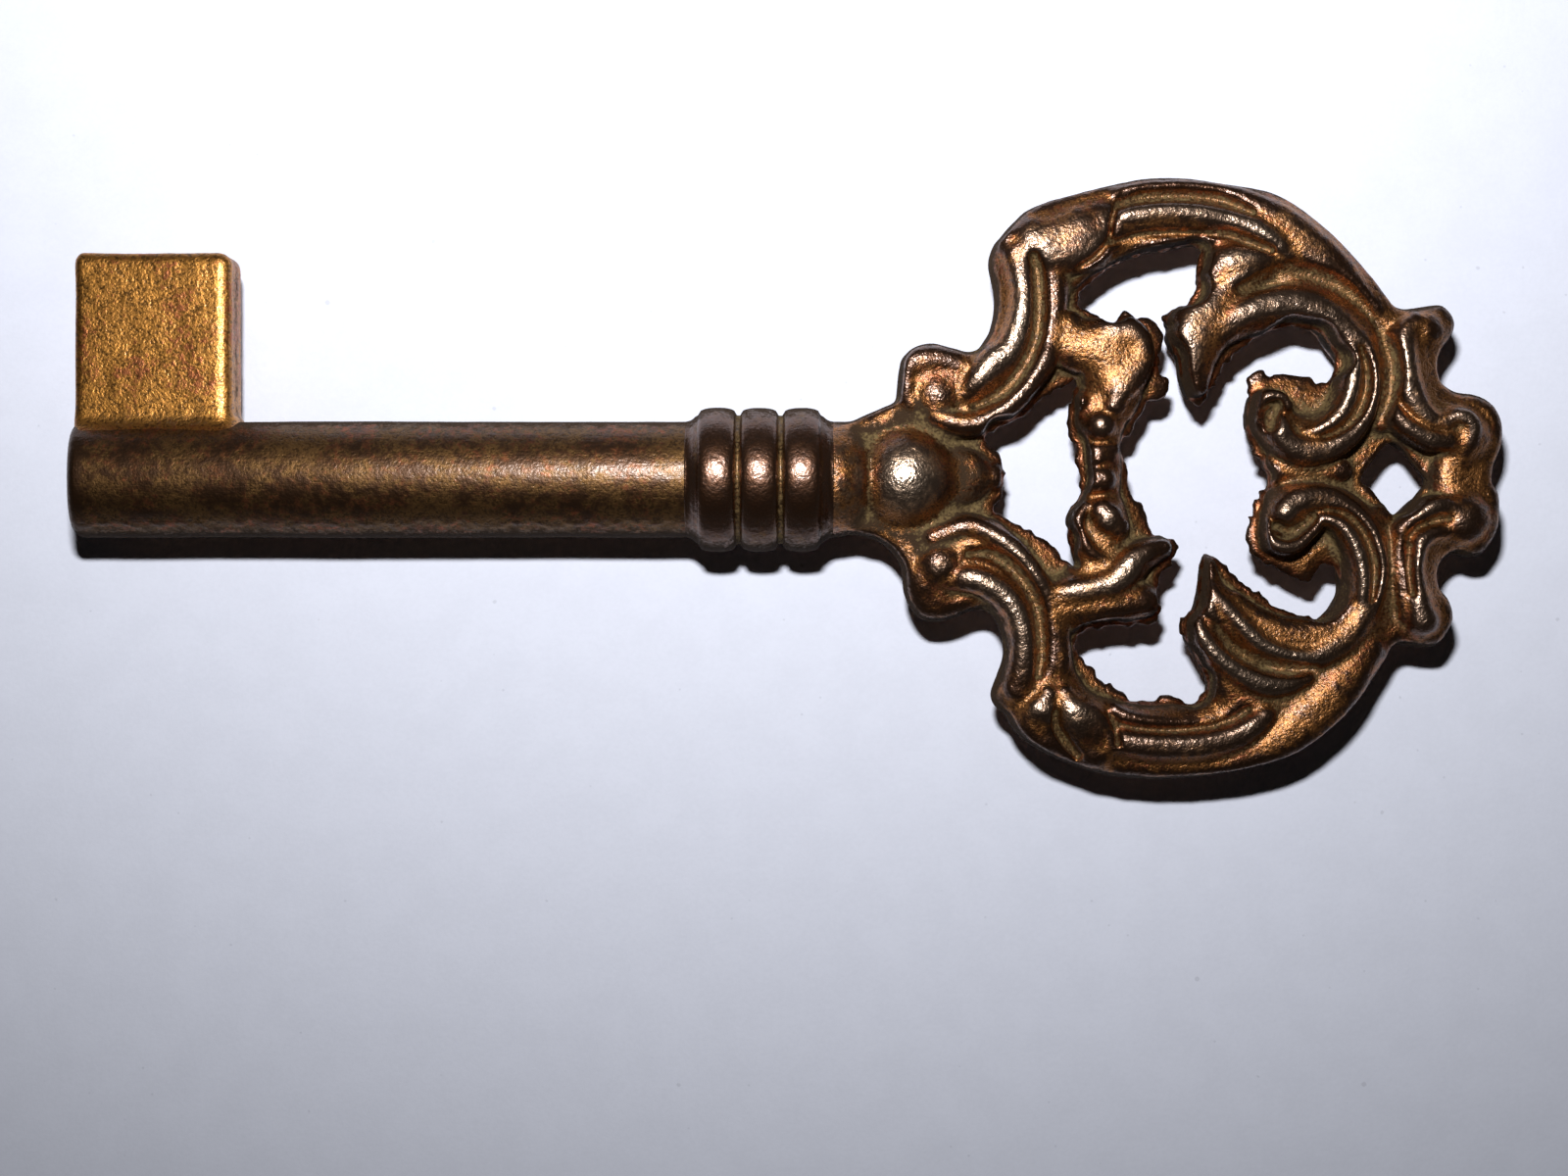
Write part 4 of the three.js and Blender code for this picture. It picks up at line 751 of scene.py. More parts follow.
def bow_place(sizes, along_share, across_share, seen_height=0):
    """A place on the bow. What stands high leans outward in the photograph, and is moved back in."""
    x = ball_place(sizes) + along_share * (bow_high.x - ball_place(sizes))
    y = axis_y + across_share * sizes.bow_half_width
    foot = below_camera()
    nearness = 1 - seen_height / CAMERA_HEIGHT
    return foot.x + (x - foot.x) * nearness, foot.y + (y - foot.y) * nearness


# Smooth lines through rows of numbers

def smooth_line(rows, steps, closed=False):
    """Points on the curve through the rows, with every column carried along it."""
    rows = np.array(rows, float)
    count = len(rows)
    spans = count if closed else count - 1
    if closed:
        padded = np.vstack([rows[-1:], rows, rows[:2]])
    else:
        padded = np.vstack([2 * rows[0] - rows[1], rows, 2 * rows[-1] - rows[-2]])
    shares = np.linspace(0, 1, steps, endpoint=False)[:, None]
    pieces = []
    for span in range(spans):
        before, start, end, after = padded[span:span + 4]
        pieces.append(0.5 * (
            2 * start + (end - before) * shares
            + (2 * before - 5 * start + 4 * end - after) * shares ** 2
            + (3 * start - before - 3 * end + after) * shares ** 3))
    if not closed:
        pieces.append(rows[-1:])
    return np.vstack(pieces)


def bow_line(sizes, rows, seen=True):
    """Rows on the bow in metres: x, y, half width and height, moved in where they were read as seen."""
    line = smooth_line(rows, LINE_STEPS)
    height = line[:, 3] * sizes.relief_height
    x, y = bow_place(sizes, line[:, 0], line[:, 1], height if seen else 0)
    return np.column_stack([x, y, line[:, 2] * sizes.bow_half_width, height])


def outline_line(sizes, shares):
    line = smooth_line(shares, OUTLINE_STEPS, closed=True)
    return np.column_stack(bow_place(sizes, line[:, 0], line[:, 1]))


# Fields of distances: negative inside the metal, positive outside

def softer_least(first, second, softness):
    """The lesser of two fields, with a fillet where they meet."""
    share = np.clip(0.5 + 0.5 * (second - first) / softness, 0, 1)
    return second * (1 - share) + first * share - softness * share * (1 - share)


def softer_most(first, second, softness):
    return -softer_least(-first, -second, softness)


def distance_to_line(x, y, line):
    """Distance in plan from each place to a line of segments, and the line's other columns there."""
    best = np.full(x.shape, np.inf)
    carried = [np.zeros(x.shape) for _ in range(line.shape[1] - 2)]
    for start, end in zip(line[:-1], line[1:]):
        step = end - start
        length = max(step[0] ** 2 + step[1] ** 2, TINY)
        share = np.clip(((x - start[0]) * step[0] + (y - start[1]) * step[1]) / length, 0, 1)
        gap = (x - start[0] - share * step[0]) ** 2 + (y - start[1] - share * step[1]) ** 2
        nearer = gap < best
        best = np.where(nearer, gap, best)
        for column, values in enumerate(carried):
            carried[column] = np.where(nearer, start[column + 2] + share * step[column + 2], values)
    return np.sqrt(best), carried


def distance_to_outline(x, y, line):
    """Distance in plan to a closed outline, negative inside it."""
    closed = np.vstack([line, line[:1]])
    distance = distance_to_line(x, y, closed)[0]
    inside = np.zeros(x.shape, bool)
    for (x1, y1), (x2, y2) in zip(closed[:-1], closed[1:]):
        if y1 != y2:
            inside ^= ((y1 > y) != (y2 > y)) & (x < (x2 - x1) * (y - y1) / (y2 - y1) + x1)
    return np.where(inside, -distance, distance)


def section_field(across, up, half_width, half_height, across_power, up_power):
    """Distance to a bar's rounded section, from the distances across it and up from its middle."""
    a = np.abs(across) / half_width
    b = np.abs(up) / half_height
    total = a ** across_power + b ** up_power
    slope = np.sqrt(
        (across_power * a ** (across_power - 1) / half_width) ** 2
        + (up_power * b ** (up_power - 1) / half_height) ** 2)
    return np.maximum((total - 1) / np.maximum(slope, 1 / half_width), -half_width)


class Casting:
    """A casting's field on a grid, for the half above the middle plane that its back mirrors."""

    def __init__(self, low, high, half_height, cell):
        self.cell = cell
        self.x = np.arange(low[0], high[0] + cell, cell)
        self.y = np.arange(low[1], high[1] + cell, cell)
        self.z = (np.arange(math.ceil(half_height / cell) + 1) + 0.5) * cell
        self.field = np.full((len(self.x), len(self.y), len(self.z)), FAR, np.float32)
        self.flash = np.zeros((len(self.x), len(self.y)))
        # Plan of grime and painted shade, laid round the ball boss by the bow
        self.grime = np.zeros((len(self.x), len(self.y)))

        # Polish starts and is whole at these heights: here above the casting, so that it has none
        self.polish_heights = (half_height, 2 * half_height)

    def window(self, line=None, reach=0):
        """Slices and places of the grid within reach of a line, or of all of it."""
        if line is None:
            spans = slice(None), slice(None)
        else:
            low = line[:, :2].min(axis=0) - reach
            high = line[:, :2].max(axis=0) + reach
            spans = (
                slice(*np.searchsorted(self.x, (low[0], high[0]))),
                slice(*np.searchsorted(self.y, (low[1], high[1]))))
        x, y = np.meshgrid(self.x[spans[0]], self.y[spans[1]], indexing="ij")
        return spans, x, y

    def join(self, spans, values, softness):
        self.field[spans] = softer_least(self.field[spans], values, softness)

    def keep(self, spans, values, softness):
        self.field[spans] = softer_most(self.field[spans], values, softness)

    def add_bar(self, line, powers, softness):
        spans, x, y = self.window(line, line[:, 2].max() + BAR_MARGIN)
        across, (half_width, half_height) = distance_to_line(x, y, line)
        self.join(spans, section_field(
            across[..., None], self.z, half_width[..., None], half_height[..., None], *powers), softness)

    def add_boss(self, x0, y0, radius, height, softness):
        spot = np.array([[x0, y0]])
        spans, x, y = self.window(spot, radius + BAR_MARGIN)
        across = np.hypot(x - x0, y - y0)[..., None]
        self.join(spans, section_field(across, self.z, radius, height, 2, BOSS_POWER), softness)

    def cut_valley(self, line, softness):
        """Lowers the metal along a line whose columns are x, y, half width and floor height."""
        spans, x, y = self.window(line, line[:, 2].max() + BAR_MARGIN)
        across, (half_width, floor) = distance_to_line(x, y, line)
        a = across / half_width
        b = np.minimum(self.z - (floor + GROOVE_DEPTH)[..., None], 0) / GROOVE_DEPTH
        slope = np.sqrt((a / half_width)[..., None] ** 2 + (b / GROOVE_DEPTH) ** 2)
        hollow = (a[..., None] ** 2 + b ** 2 - 1) / np.maximum(2 * slope, 1 / GROOVE_DEPTH)
        self.keep(spans, -hollow, softness)

    def plan_values(self, values, points):
        """The values of a plan of this grid at points of the casting."""
        start = np.array([self.x[0], self.y[0]])
        nearest = np.round((points[:, :2] - start) / self.cell).astype(int)
        along, across = np.clip(nearest, 0, np.array(values.shape) - 1).T
        return values[along, across]

    def skin(self):
        """Closed skin of the field and its mirror image: points and four-sided faces."""
        whole = np.concatenate([self.field[:, :, ::-1], self.field], axis=2)
        low = np.array([self.x[0], self.y[0], -self.z[-1]])
        return surface_net(whole, low, self.cell)


def crossed_edges(field, axis):
    """The grid edges along an axis that the surface crosses: start, crossing, and whether it leads out."""
    first, second = [slice(None)] * 3, [slice(None)] * 3
    first[axis], second[axis] = slice(0, -1), slice(1, None)
    a, b = field[tuple(first)], field[tuple(second)]
    crossed = (a < 0) != (b < 0)
    place = np.array(np.nonzero(crossed))
    start, end = a[crossed], b[crossed]
    point = place.astype(np.float32)
    point[axis] += start / (start - end)
    return axis, place, point, start < 0


def cubes_round(place, axis):
    """The four grid cubes round each grid edge, one after the other."""
    u, v = (k for k in range(3) if k != axis)
    for shift_u, shift_v in ((0, 0), (1, 0), (1, 1), (0, 1)):
        cube = place.copy()
        cube[u] -= shift_u
        cube[v] -= shift_v
        yield cube


def surface_net(field, low, cell):
    """One point for each grid cube that the surface crosses, and a face for each crossed grid edge."""
    cubes = tuple(n - 1 for n in field.shape)
    last = np.array(cubes)[:, None] - 1
    total = np.zeros(cubes + (3,), np.float32)
    hits = np.zeros(cubes, np.float32)
    crossings = [crossed_edges(field, axis) for axis in range(3)]
    for axis, place, point, _ in crossings:
        for cube in cubes_round(place, axis):
            inside = np.all((cube >= 0) & (cube <= last), axis=0)
            index = tuple(cube[:, inside])
            np.add.at(total, index, point[:, inside].T)
            np.add.at(hits, index, 1)
    used = hits > 0
    number = np.full(cubes, -1, np.int64)
    number[used] = np.arange(used.sum())
    points = low + cell * total[used] / hits[used][:, None]
    faces = []
    for axis, place, _, leads_out in crossings:
        quads = np.array([number[tuple(np.clip(cube, 0, last))] for cube in cubes_round(place, axis)]).T
        turned = leads_out if axis != 1 else ~leads_out
        quads[~turned] = quads[~turned][:, ::-1]
        faces.append(quads)
    return points, np.vstack(faces)


# Meshes

def neighbour_mean(points, faces):
    """A function that gives each point the mean of its neighbours' values."""
    sides = faces.shape[1]
    edges = np.vstack([faces[:, [k, (k + 1) % sides]] for k in range(sides)])
    ends = np.concatenate([edges[:, 0], edges[:, 1]])
    others = np.concatenate([edges[:, 1], edges[:, 0]])
    counts = np.bincount(ends, minlength=len(points))

    def mean(values):
        return np.column_stack([
            np.bincount(ends, values[others, column], minlength=len(points)) / counts
            for column in range(3)])

    return mean


def point_normals(points, faces):
    across = points[faces[:, 2]] - points[faces[:, 0]]
    along = points[faces[:, -1]] - points[faces[:, 1]]
    normal = np.cross(across, along)
    total = np.column_stack([
        sum(np.bincount(faces[:, k], normal[:, column], minlength=len(points))
            for k in range(faces.shape[1]))
        for column in range(3)])
    return total / np.maximum(np.linalg.norm(total, axis=1), TINY)[:, None]


def lattice_noise(points, size, seed):
    """Smooth noise between -1 and 1, with lumps about as large as size."""
    lattice = np.random.default_rng(seed).uniform(-1, 1, (NOISE_PERIOD,) * 3)
    scaled = points / size
    cell = np.floor(scaled).astype(int)
    share = scaled - cell
    share = share * share * (3 - 2 * share)
    total = np.zeros(len(points))
    for corner in np.ndindex(2, 2, 2):
        weight = np.prod(np.where(np.array(corner) == 1, share, 1 - share), axis=1)
        index = (cell + np.array(corner)) % NOISE_PERIOD
        total += weight * lattice[tuple(index.T)]
    return total


def smoothed(points, faces, rounds):
    """Takes the grid's steps out of a skin without shrinking it."""
    mean = neighbour_mean(points, faces)
    for _ in range(rounds):
        points = points + SMOOTH_IN * (mean(points) - points)
        points = points + SMOOTH_OUT * (mean(points) - points)
    return points


def standing_out(points, faces, normals, rounds):
    """How far each point stands out of the skin blurred so many times."""
    mean = neighbour_mean(points, faces)
    blurred = points
    for _ in range(rounds):
        blurred = mean(blurred)
    return ((points - blurred) * normals).sum(axis=1)


def lumpy(points, normals, lumps):
    for size, height, seed in lumps:
        points = points + normals * (height * lattice_noise(points, size, seed))[:, None]
    return points


def new_object(name, data):
    made = bpy.data.objects.new(name, data)
    bpy.context.scene.collection.objects.link(made)
    return made


def make_piece(name, points, face_sets, surface, node, material):
    """A mesh object that stands for a node of the frame, with the surface values its material reads."""
    mesh = bpy.data.meshes.new(name)
    mesh.from_pydata(points.tolist(), [], [face for faces in face_sets for face in faces.tolist()])
    mesh.shade_smooth()
    for kind, values in surface.items():
        layer = mesh.attributes.new(kind, "FLOAT", "POINT")
        layer.data.foreach_set("value", values.astype(np.float32))
    mesh.materials.append(material)
    mesh.update()
    piece = new_object(name, mesh)
    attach(piece, "root")
    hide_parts(node)
    return piece


def turned_mesh(profile, segments, step):
    """A profile of (place along X, radius) turned about the key's axis, with rings a step apart."""
    rings = [profile[0]]
    for (x1, r1), (x2, r2) in zip(profile[:-1], profile[1:]):
        parts = max(1, round(math.hypot(x2 - x1, r2 - r1) / step))
        rings += [(x1 + (x2 - x1) * k / parts, r1 + (r2 - r1) * k / parts) for k in range(1, parts + 1)]
    rings = [ring for ring in rings if ring[1] > TINY]
    angles = np.arange(segments) * math.tau / segments
    points = [
        np.column_stack([
            np.full(segments, x), axis_y + r * np.cos(angles), axis_z + r * np.sin(angles)])
        for x, r in rings]
    ends = np.array([[profile[0][0], axis_y, axis_z], [profile[-1][0], axis_y, axis_z]])
    faces = []
    around = np.arange(segments)
    following = (around + 1) % segments
    for ring in range(len(rings) - 1):
        near, far = ring * segments, (ring + 1) * segments
        faces.append(np.column_stack([near + around, near + following, far + following, far + around]))
    first, last = len(rings) * segments, len(rings) * segments + 1
    far = (len(rings) - 1) * segments
    caps = np.vstack([
        np.column_stack([np.full(segments, first), following, around]),
        np.column_stack([np.full(segments, last), far + around, far + following])])
    return np.vstack(points + [ends]), np.vstack(faces), caps


def arc(centre_x, centre_r, radius, start, end, steps):
    """Points of a profile on an arc, with its angles in degrees from the way the bow lies."""
    angles = np.radians(np.linspace(start, end, steps + 1))
    return [(centre_x + radius * math.cos(a), centre_r + radius * math.sin(a)) for a in angles]


def make_turned(name, profile, lumps, node, material, segments, placed=None):
    """A turned piece. placed, where it is given, moves its points away from the key's axis."""
    points, sides, caps = turned_mesh(profile, segments, TURNED_STEP)
    if placed:
        points = placed(points)
    faces = np.vstack([sides, np.column_stack([caps, caps[:, :1]])])
    normals = point_normals(points, faces)
    wear = np.clip(standing_out(points, faces, normals, WEAR_ROUNDS) / WEAR_DEPTH, -1, 1)
    height = np.abs(points[:, 2] - axis_z)
    # The low value is painted shade: the piece grows darker from its top and bottom towards its middle
    # plane
    low = 1 - height / height.max()
    points = lumpy(points, normals, lumps)
    return make_piece(name, points, [sides, caps], {"wear": wear, "low": low}, node, material)


# Materials

class Value:
    """A number in a material: sums on it add Math nodes."""

    def __init__(self, finish, socket):
        self.finish = finish
        self.socket = socket

    def sum(self, operation, first, second):
        made = self.finish.node("ShaderNodeMath", {"operation": operation}, {0: first, 1: second})
        return Value(self.finish, made.outputs[0])

    def __add__(self, other):
        return self.sum("ADD", self, other)

    def __radd__(self, other):
        return self.sum("ADD", other, self)

    def __sub__(self, other):
        return self.sum("SUBTRACT", self, other)

    def __rsub__(self, other):
        return self.sum("SUBTRACT", other, self)

    def __mul__(self, other):
        return self.sum("MULTIPLY", self, other)

    def __rmul__(self, other):
        return self.sum("MULTIPLY", other, self)


def opaque(colour):
    return colour if isinstance(colour, bpy.types.NodeSocket) else (*colour, 1)


class Finish:
    """A node tree under construction, for a material or the world."""

    def __init__(self, owner):
        owner.use_nodes = True
        self.owner = owner
        self.tree = owner.node_tree
        self.tree.nodes.clear()

    def node(self, kind, settings=None, inputs=None):
        made = self.tree.nodes.new(kind)
        for name, setting in (settings or {}).items():
            setattr(made, name, setting)
        for name, given in (inputs or {}).items():
            if isinstance(given, Value):
                given = given.socket
            if isinstance(given, bpy.types.NodeSocket):
                self.tree.links.new(given, made.inputs[name])
            else:
                made.inputs[name].default_value = given
        return made

    def value(self, kind, settings=None, inputs=None, output=0):
        return Value(self, self.node(kind, settings, inputs).outputs[output])

    def noise(self, size, detail, roughness, shift, stretch=(1, 1, 1)):
        """Noise round a half with patches of a real size, longer along an axis with a small stretch."""
        place = self.node("ShaderNodeTexCoord").outputs["Object"]
        scaled = self.node("ShaderNodeVectorMath", {"operation": "MULTIPLY"}, {
            0: place, 1: tuple(part / size for part in stretch)}).outputs[0]
        moved = self.node("ShaderNodeVectorMath", {"operation": "ADD"}, {
            0: scaled, 1: (shift, shift, shift)}).outputs[0]
        weak = self.value("ShaderNodeTexNoise", {}, {
            "Vector": moved, "Scale": 1, "Detail": detail, "Roughness": roughness})
        return NOISE_GAIN * (weak - 0.5) + 0.5

    def weighed(self, parts, weights):
        """The sum of the named parts, each times its weight."""
        return functools.reduce(Value.__add__, (weight * parts[name] for name, weight in weights.items()))

    def levels(self, value, low, high):
        """0 at the low value and below, 1 at the high value and above."""
        return self.value("ShaderNodeMapRange", {"interpolation_type": "SMOOTHSTEP"}, {
            "Value": value, "From Min": low, "From Max": high})

    def highest(self, first, second):
        return self.value("ShaderNodeMath", {"operation": "MAXIMUM"}, {0: first, 1: second})

    def mixed(self, share, first, second):
        """A colour between two. Sockets 6 and 7 and output 2 are the Mix node's colours."""
        return self.node("ShaderNodeMix", {"data_type": "RGBA"}, {
            0: share, 6: opaque(first), 7: opaque(second)}).outputs[2]

    def coat(self, colour, roughness, normal, metallic=0, specular=0.5):
        return self.node("ShaderNodeBsdfPrincipled", {}, {
            "Base Color": opaque(colour), "Roughness": roughness, "Normal": normal,
            "Metallic": metallic, "Specular IOR Level": specular})

    def blend(self, share, first, second):
        return self.node("ShaderNodeMixShader", {}, {
            0: share, 1: first.outputs[0], 2: second.outputs[0]})

    def finished(self, output, shader):
        self.node(output, {}, {"Surface": shader.outputs[0]})
        return self.owner

    def bump(self, height):
        return self.node("ShaderNodeBump", {}, {"Height": height, "Distance": 1, "Strength": 1}).outputs[0]


def metal_parts(finish, skin_from, shade_and_grime):
    """What varies over the metal: its surface's values, its noises and the layers made of them."""
    parts = {
        kind: finish.value("ShaderNodeAttribute", {"attribute_name": kind}, output="Fac")
        for kind in SURFACE_KINDS}
    for kind, look in METAL_NOISES.items():
        parts[kind] = finish.noise(*look)
    layers = {
        **METAL_LAYERS,
        "skin": (SKIN_WEIGHTS, (skin_from, skin_from + SKIN_SPAN)),
        # dark: matt painted shade from the low value and recesses, broken by random mottle and grain
        "dark": ({**DARK_WEIGHTS, "low": shade_and_grime}, DARK_LEVELS),
    }
    for layer, (weights, levels) in layers.items():
        parts[layer] = finish.levels(finish.weighed(parts, weights), *levels)
    parts["red"] = finish.highest(parts["red"], parts["flash"])
    return parts


def metal(
        name, colours, bare, patina, skin_from, grain_height,
        scratch_height=0, gloss=1, shade_and_grime=1.5, rough=0.42):
    """Grainy bare metal under a smooth dark patina, polished on its heights, with dust in its hollows and
    matt brown painted shade where its dark layer is high.
    """
    finish = Finish(bpy.data.materials.new(name))
    parts = metal_parts(finish, skin_from, shade_and_grime)
    grain, skin, dust, polish = (parts[kind] for kind in ("grain", "skin", "dust", "polish"))

    colour = bare
    for share, tint in (
            (COPPER_SHARE * parts["red"], colours.copper), (OLIVE_SHARE * dust, colours.olive),
            (PIT_SHARE * parts["pits"], colours.grime), (skin, patina), (polish, colours.polished)):
        colour = finish.mixed(share, colour, tint)
    height = grain_height * (grain - SKIN_GRAIN_SHARE * skin * grain + parts["flecks"] + parts["mottle"])
    if scratch_height:
        height = height + scratch_height * finish.noise(*SCRATCH_NOISE, stretch=SCRATCH_STRETCH)
    normal = finish.bump(height)

    smoothness = SKIN_SMOOTHING * skin + POLISH_SMOOTHING * polish
    bright = finish.coat(colour, rough - smoothness, normal, metallic=1)
    grimy = finish.coat(colours.grime, GRIME_ROUGHNESS, normal, specular=GRIME_SPECULAR)
    # Matt colour: dust in the hollows, and brown painted shade where there is no dust
    dust_and_shade = finish.mixed(dust * parts["specks"], colours.soot_and_shade, colours.dust)
    matt = finish.coat(dust_and_shade, DUST_ROUGHNESS, normal, specular=DUST_SPECULAR)
    cover = gloss * (COVER_SHARE + finish.weighed(parts, COVER_WEIGHTS)) - POLISH_COVER_SHARE * polish
    # The matt share: dust in the hollows and the dark layer's painted shade
    dull = finish.highest(DUST_COVER_SHARE * dust + GRAINY_DUST_SHARE * dust * grain, parts["dark"])
    covered = finish.blend(cover, bright, grimy)
    return finish.finished("ShaderNodeOutputMaterial", finish.blend(dull, covered, matt))


def paper(colours):
    """White paper with fibres, clouds and specks, that fades for the camera into the plain backdrop."""
    finish = Finish(bpy.data.materials.new("paper"))
    fibres, clouds, spots = (finish.noise(*look) for look in (FIBRE_NOISE, CLOUD_NOISE, SPECK_NOISE))
    plain, clouded, specked = (
        tuple(shade * part for part in colours.paper) for shade in (1, CLOUD_SHADE, SPECK_SHADE))
    cloudy = finish.mixed(finish.levels(fibres + clouds, 0, 2), clouded, plain)
    specks = SPECK_SHARE * finish.levels(spots, *SPECK_LEVELS)
    sheet = finish.coat(
        finish.mixed(specks, cloudy, specked), PAPER_ROUGHNESS, finish.bump(FIBRE_HEIGHT * fibres),
        specular=PAPER_SPECULAR)
    place = finish.node("ShaderNodeTexCoord").outputs["Object"]
    from_middle = finish.value("ShaderNodeVectorMath", {"operation": "LENGTH"}, {0: place}, output="Value")
    camera_ray = finish.value("ShaderNodeLightPath", output="Is Camera Ray")
    distant = finish.node("ShaderNodeEmission", {}, {"Color": opaque(colours.backdrop), "Strength": 1})
    faded = camera_ray * finish.levels(from_middle, LIT_REACH, LIT_FADE_SHARE * LIT_REACH)
    return finish.finished("ShaderNodeOutputMaterial", finish.blend(faded, sheet, distant))


def bow_metal(colours):
    return metal(
        "bow_metal", colours, colours.bronze, colours.patina, skin_from=0.42, grain_height=BOW_GRAIN)


def barrel_metal(colours):
    return metal(
        "barrel_metal", colours, colours.olive, colours.tarnish, skin_from=0.34, grain_height=BARREL_GRAIN,
        scratch_height=SCRATCH_HEIGHT, gloss=0.6, rough=0.5)


def bit_metal(colours):
    return metal(
        "bit_metal", colours, colours.gold, colours.patina, skin_from=1.1, grain_height=BIT_GRAIN, shade_and_grime=0.7)


def collar_metal(colours):
    return metal(
        "collar_metal", colours, colours.olive, colours.patina, skin_from=0.34, grain_height=COLLAR_GRAIN)


# The pieces

def cast_bow(sizes):
    """The bow's field: bars, rim, relief, openings with web and flash, and the neck with its ball."""
    border = sizes.grid_cell * GRID_BORDER
    low = (collar_high.x - NECK_OVERLAP, bow_low.y - border)
    high = (bow_high.x + border, bow_high.y + border)
    casting = Casting(low, high, barrel_radius + border, sizes.grid_cell)
    whole, x, y = casting.window()
    edge = distance_to_outline(x, y, outline_line(sizes, OUTLINE_SHARES))
    add_frame(sizes, casting, edge)
    add_relief(sizes, casting)
    open_bow(sizes, casting, edge)
    casting.join(whole, neck_field(sizes, casting, x, y), BALL_FILLET)
    ball_radius = sizes.ball_diameter / 2
    # A ring of grime and painted shade round the ball boss darkens its shoulders
    from_ball = np.hypot(x - ball_place(sizes) + sizes.ball_shift, y - axis_y)
    ring = [share * ball_radius for share in BALL_GRIME_AND_SHADE_SHARES]
    casting.grime = np.interp(from_ball, ring, (0, 1, 1, 0))
    casting.polish_heights = (POLISH_FROM_SHARE * sizes.relief_height, ball_radius)
    return casting


def add_frame(sizes, casting, edge):
    """The bars and the rounded rim along the outline."""
    for rows in BAR_SHARES.values():
        casting.add_bar(bow_line(sizes, rows, seen=False), BAR_POWERS, BAR_FILLET)
    rim = section_field(
        (edge + sizes.rim_half_width)[..., None], casting.z,
        sizes.rim_half_width, sizes.rim_half_height, *BAR_POWERS)
    casting.join(casting.window()[0], rim, BAR_FILLET)


def add_relief(sizes, casting):
    """The ribs and bosses on the bars, and the valleys between them."""
    for rows in RIB_SHARES.values():
        casting.add_bar(bow_line(sizes, rows), RIB_POWERS, RIB_FILLET)
    for along, across, radius_share, height_share in BOSS_SHARES.values():
        height = height_share * sizes.relief_height
        x, y = bow_place(sizes, along, across, height)
        casting.add_boss(x, y, radius_share * sizes.bow_half_width, height, RIB_FILLET)
    for rows in VALLEY_SHARES.values():
        casting.cut_valley(bow_line(sizes, rows), VALLEY_FILLET)


def open_bow(sizes, casting, edge):
    """Cuts the openings, and leaves the thin web between the bars with its torn flash."""
    whole, x, y = casting.window()
    gap = np.full(x.shape, FAR)
    for opening in (LOW_OPENING_SHARES, CENTRAL_OPENING_SHARES):
        gap = np.minimum(gap, distance_to_outline(x, y, outline_line(sizes, opening)))
    edge = np.maximum(edge, -distance_to_outline(x, y, outline_line(sizes, CREST_OPENING_SHARES)))
    plan = np.column_stack([x.ravel(), y.ravel(), np.zeros(x.size)])
    stand_back, ragged = (
        lattice_noise(plan, size, seed).reshape(x.shape) for size, seed in FLASH_LUMPS)
    even_share, noisy_share = FLASH_WIDTH_SHARES
    flash_width = sizes.flash_width * np.maximum(even_share + noisy_share * stand_back, 0)
    walls = np.maximum(edge, flash_width - gap)
    casting.keep(whole, walls[..., None] + WALL_DRAFT * casting.z, CUT_FILLET)
    torn = np.maximum(edge, sizes.flash_rag * ragged - gap)
    thickness = np.interp(
        gap, (0, FLASH_TAPER_SHARE * sizes.flash_width),
        (sizes.flash_half_thickness, sizes.web_half_thickness))
    web = softer_most(
        np.broadcast_to(torn[..., None], casting.field.shape),
        casting.z - thickness[..., None], WEB_FILLET)
    casting.join(whole, web, WEB_FILLET)
    casting.flash = np.clip(FLASH_TINT_SHARE - gap / sizes.flash_width, 0, 1)


def neck_field(sizes, casting, x, y):
    """The neck and the ball boss, both round about the key's axis."""
    ball = ball_place(sizes) - sizes.ball_shift
    from_axis = np.sqrt((y - axis_y)[..., None] ** 2 + casting.z ** 2)
    crease = ball - math.sqrt((sizes.ball_diameter / 2) ** 2 - (sizes.neck_crease / 2) ** 2)
    fall = np.clip((x - collar_high.x) / (crease - collar_high.x), 0, 1) ** NECK_FALL_POWER
    neck = from_axis - (barrel_radius + fall * (sizes.neck_crease / 2 - barrel_radius))[..., None]
    neck = np.maximum(neck, (x - crease)[..., None])
    neck = np.maximum(neck, (casting.x[0] + 2 * casting.cell - x)[..., None])
    round_boss = np.sqrt((x - ball)[..., None] ** 2 + from_axis ** 2) - sizes.ball_diameter / 2
    return softer_least(neck, round_boss, BALL_FILLET)


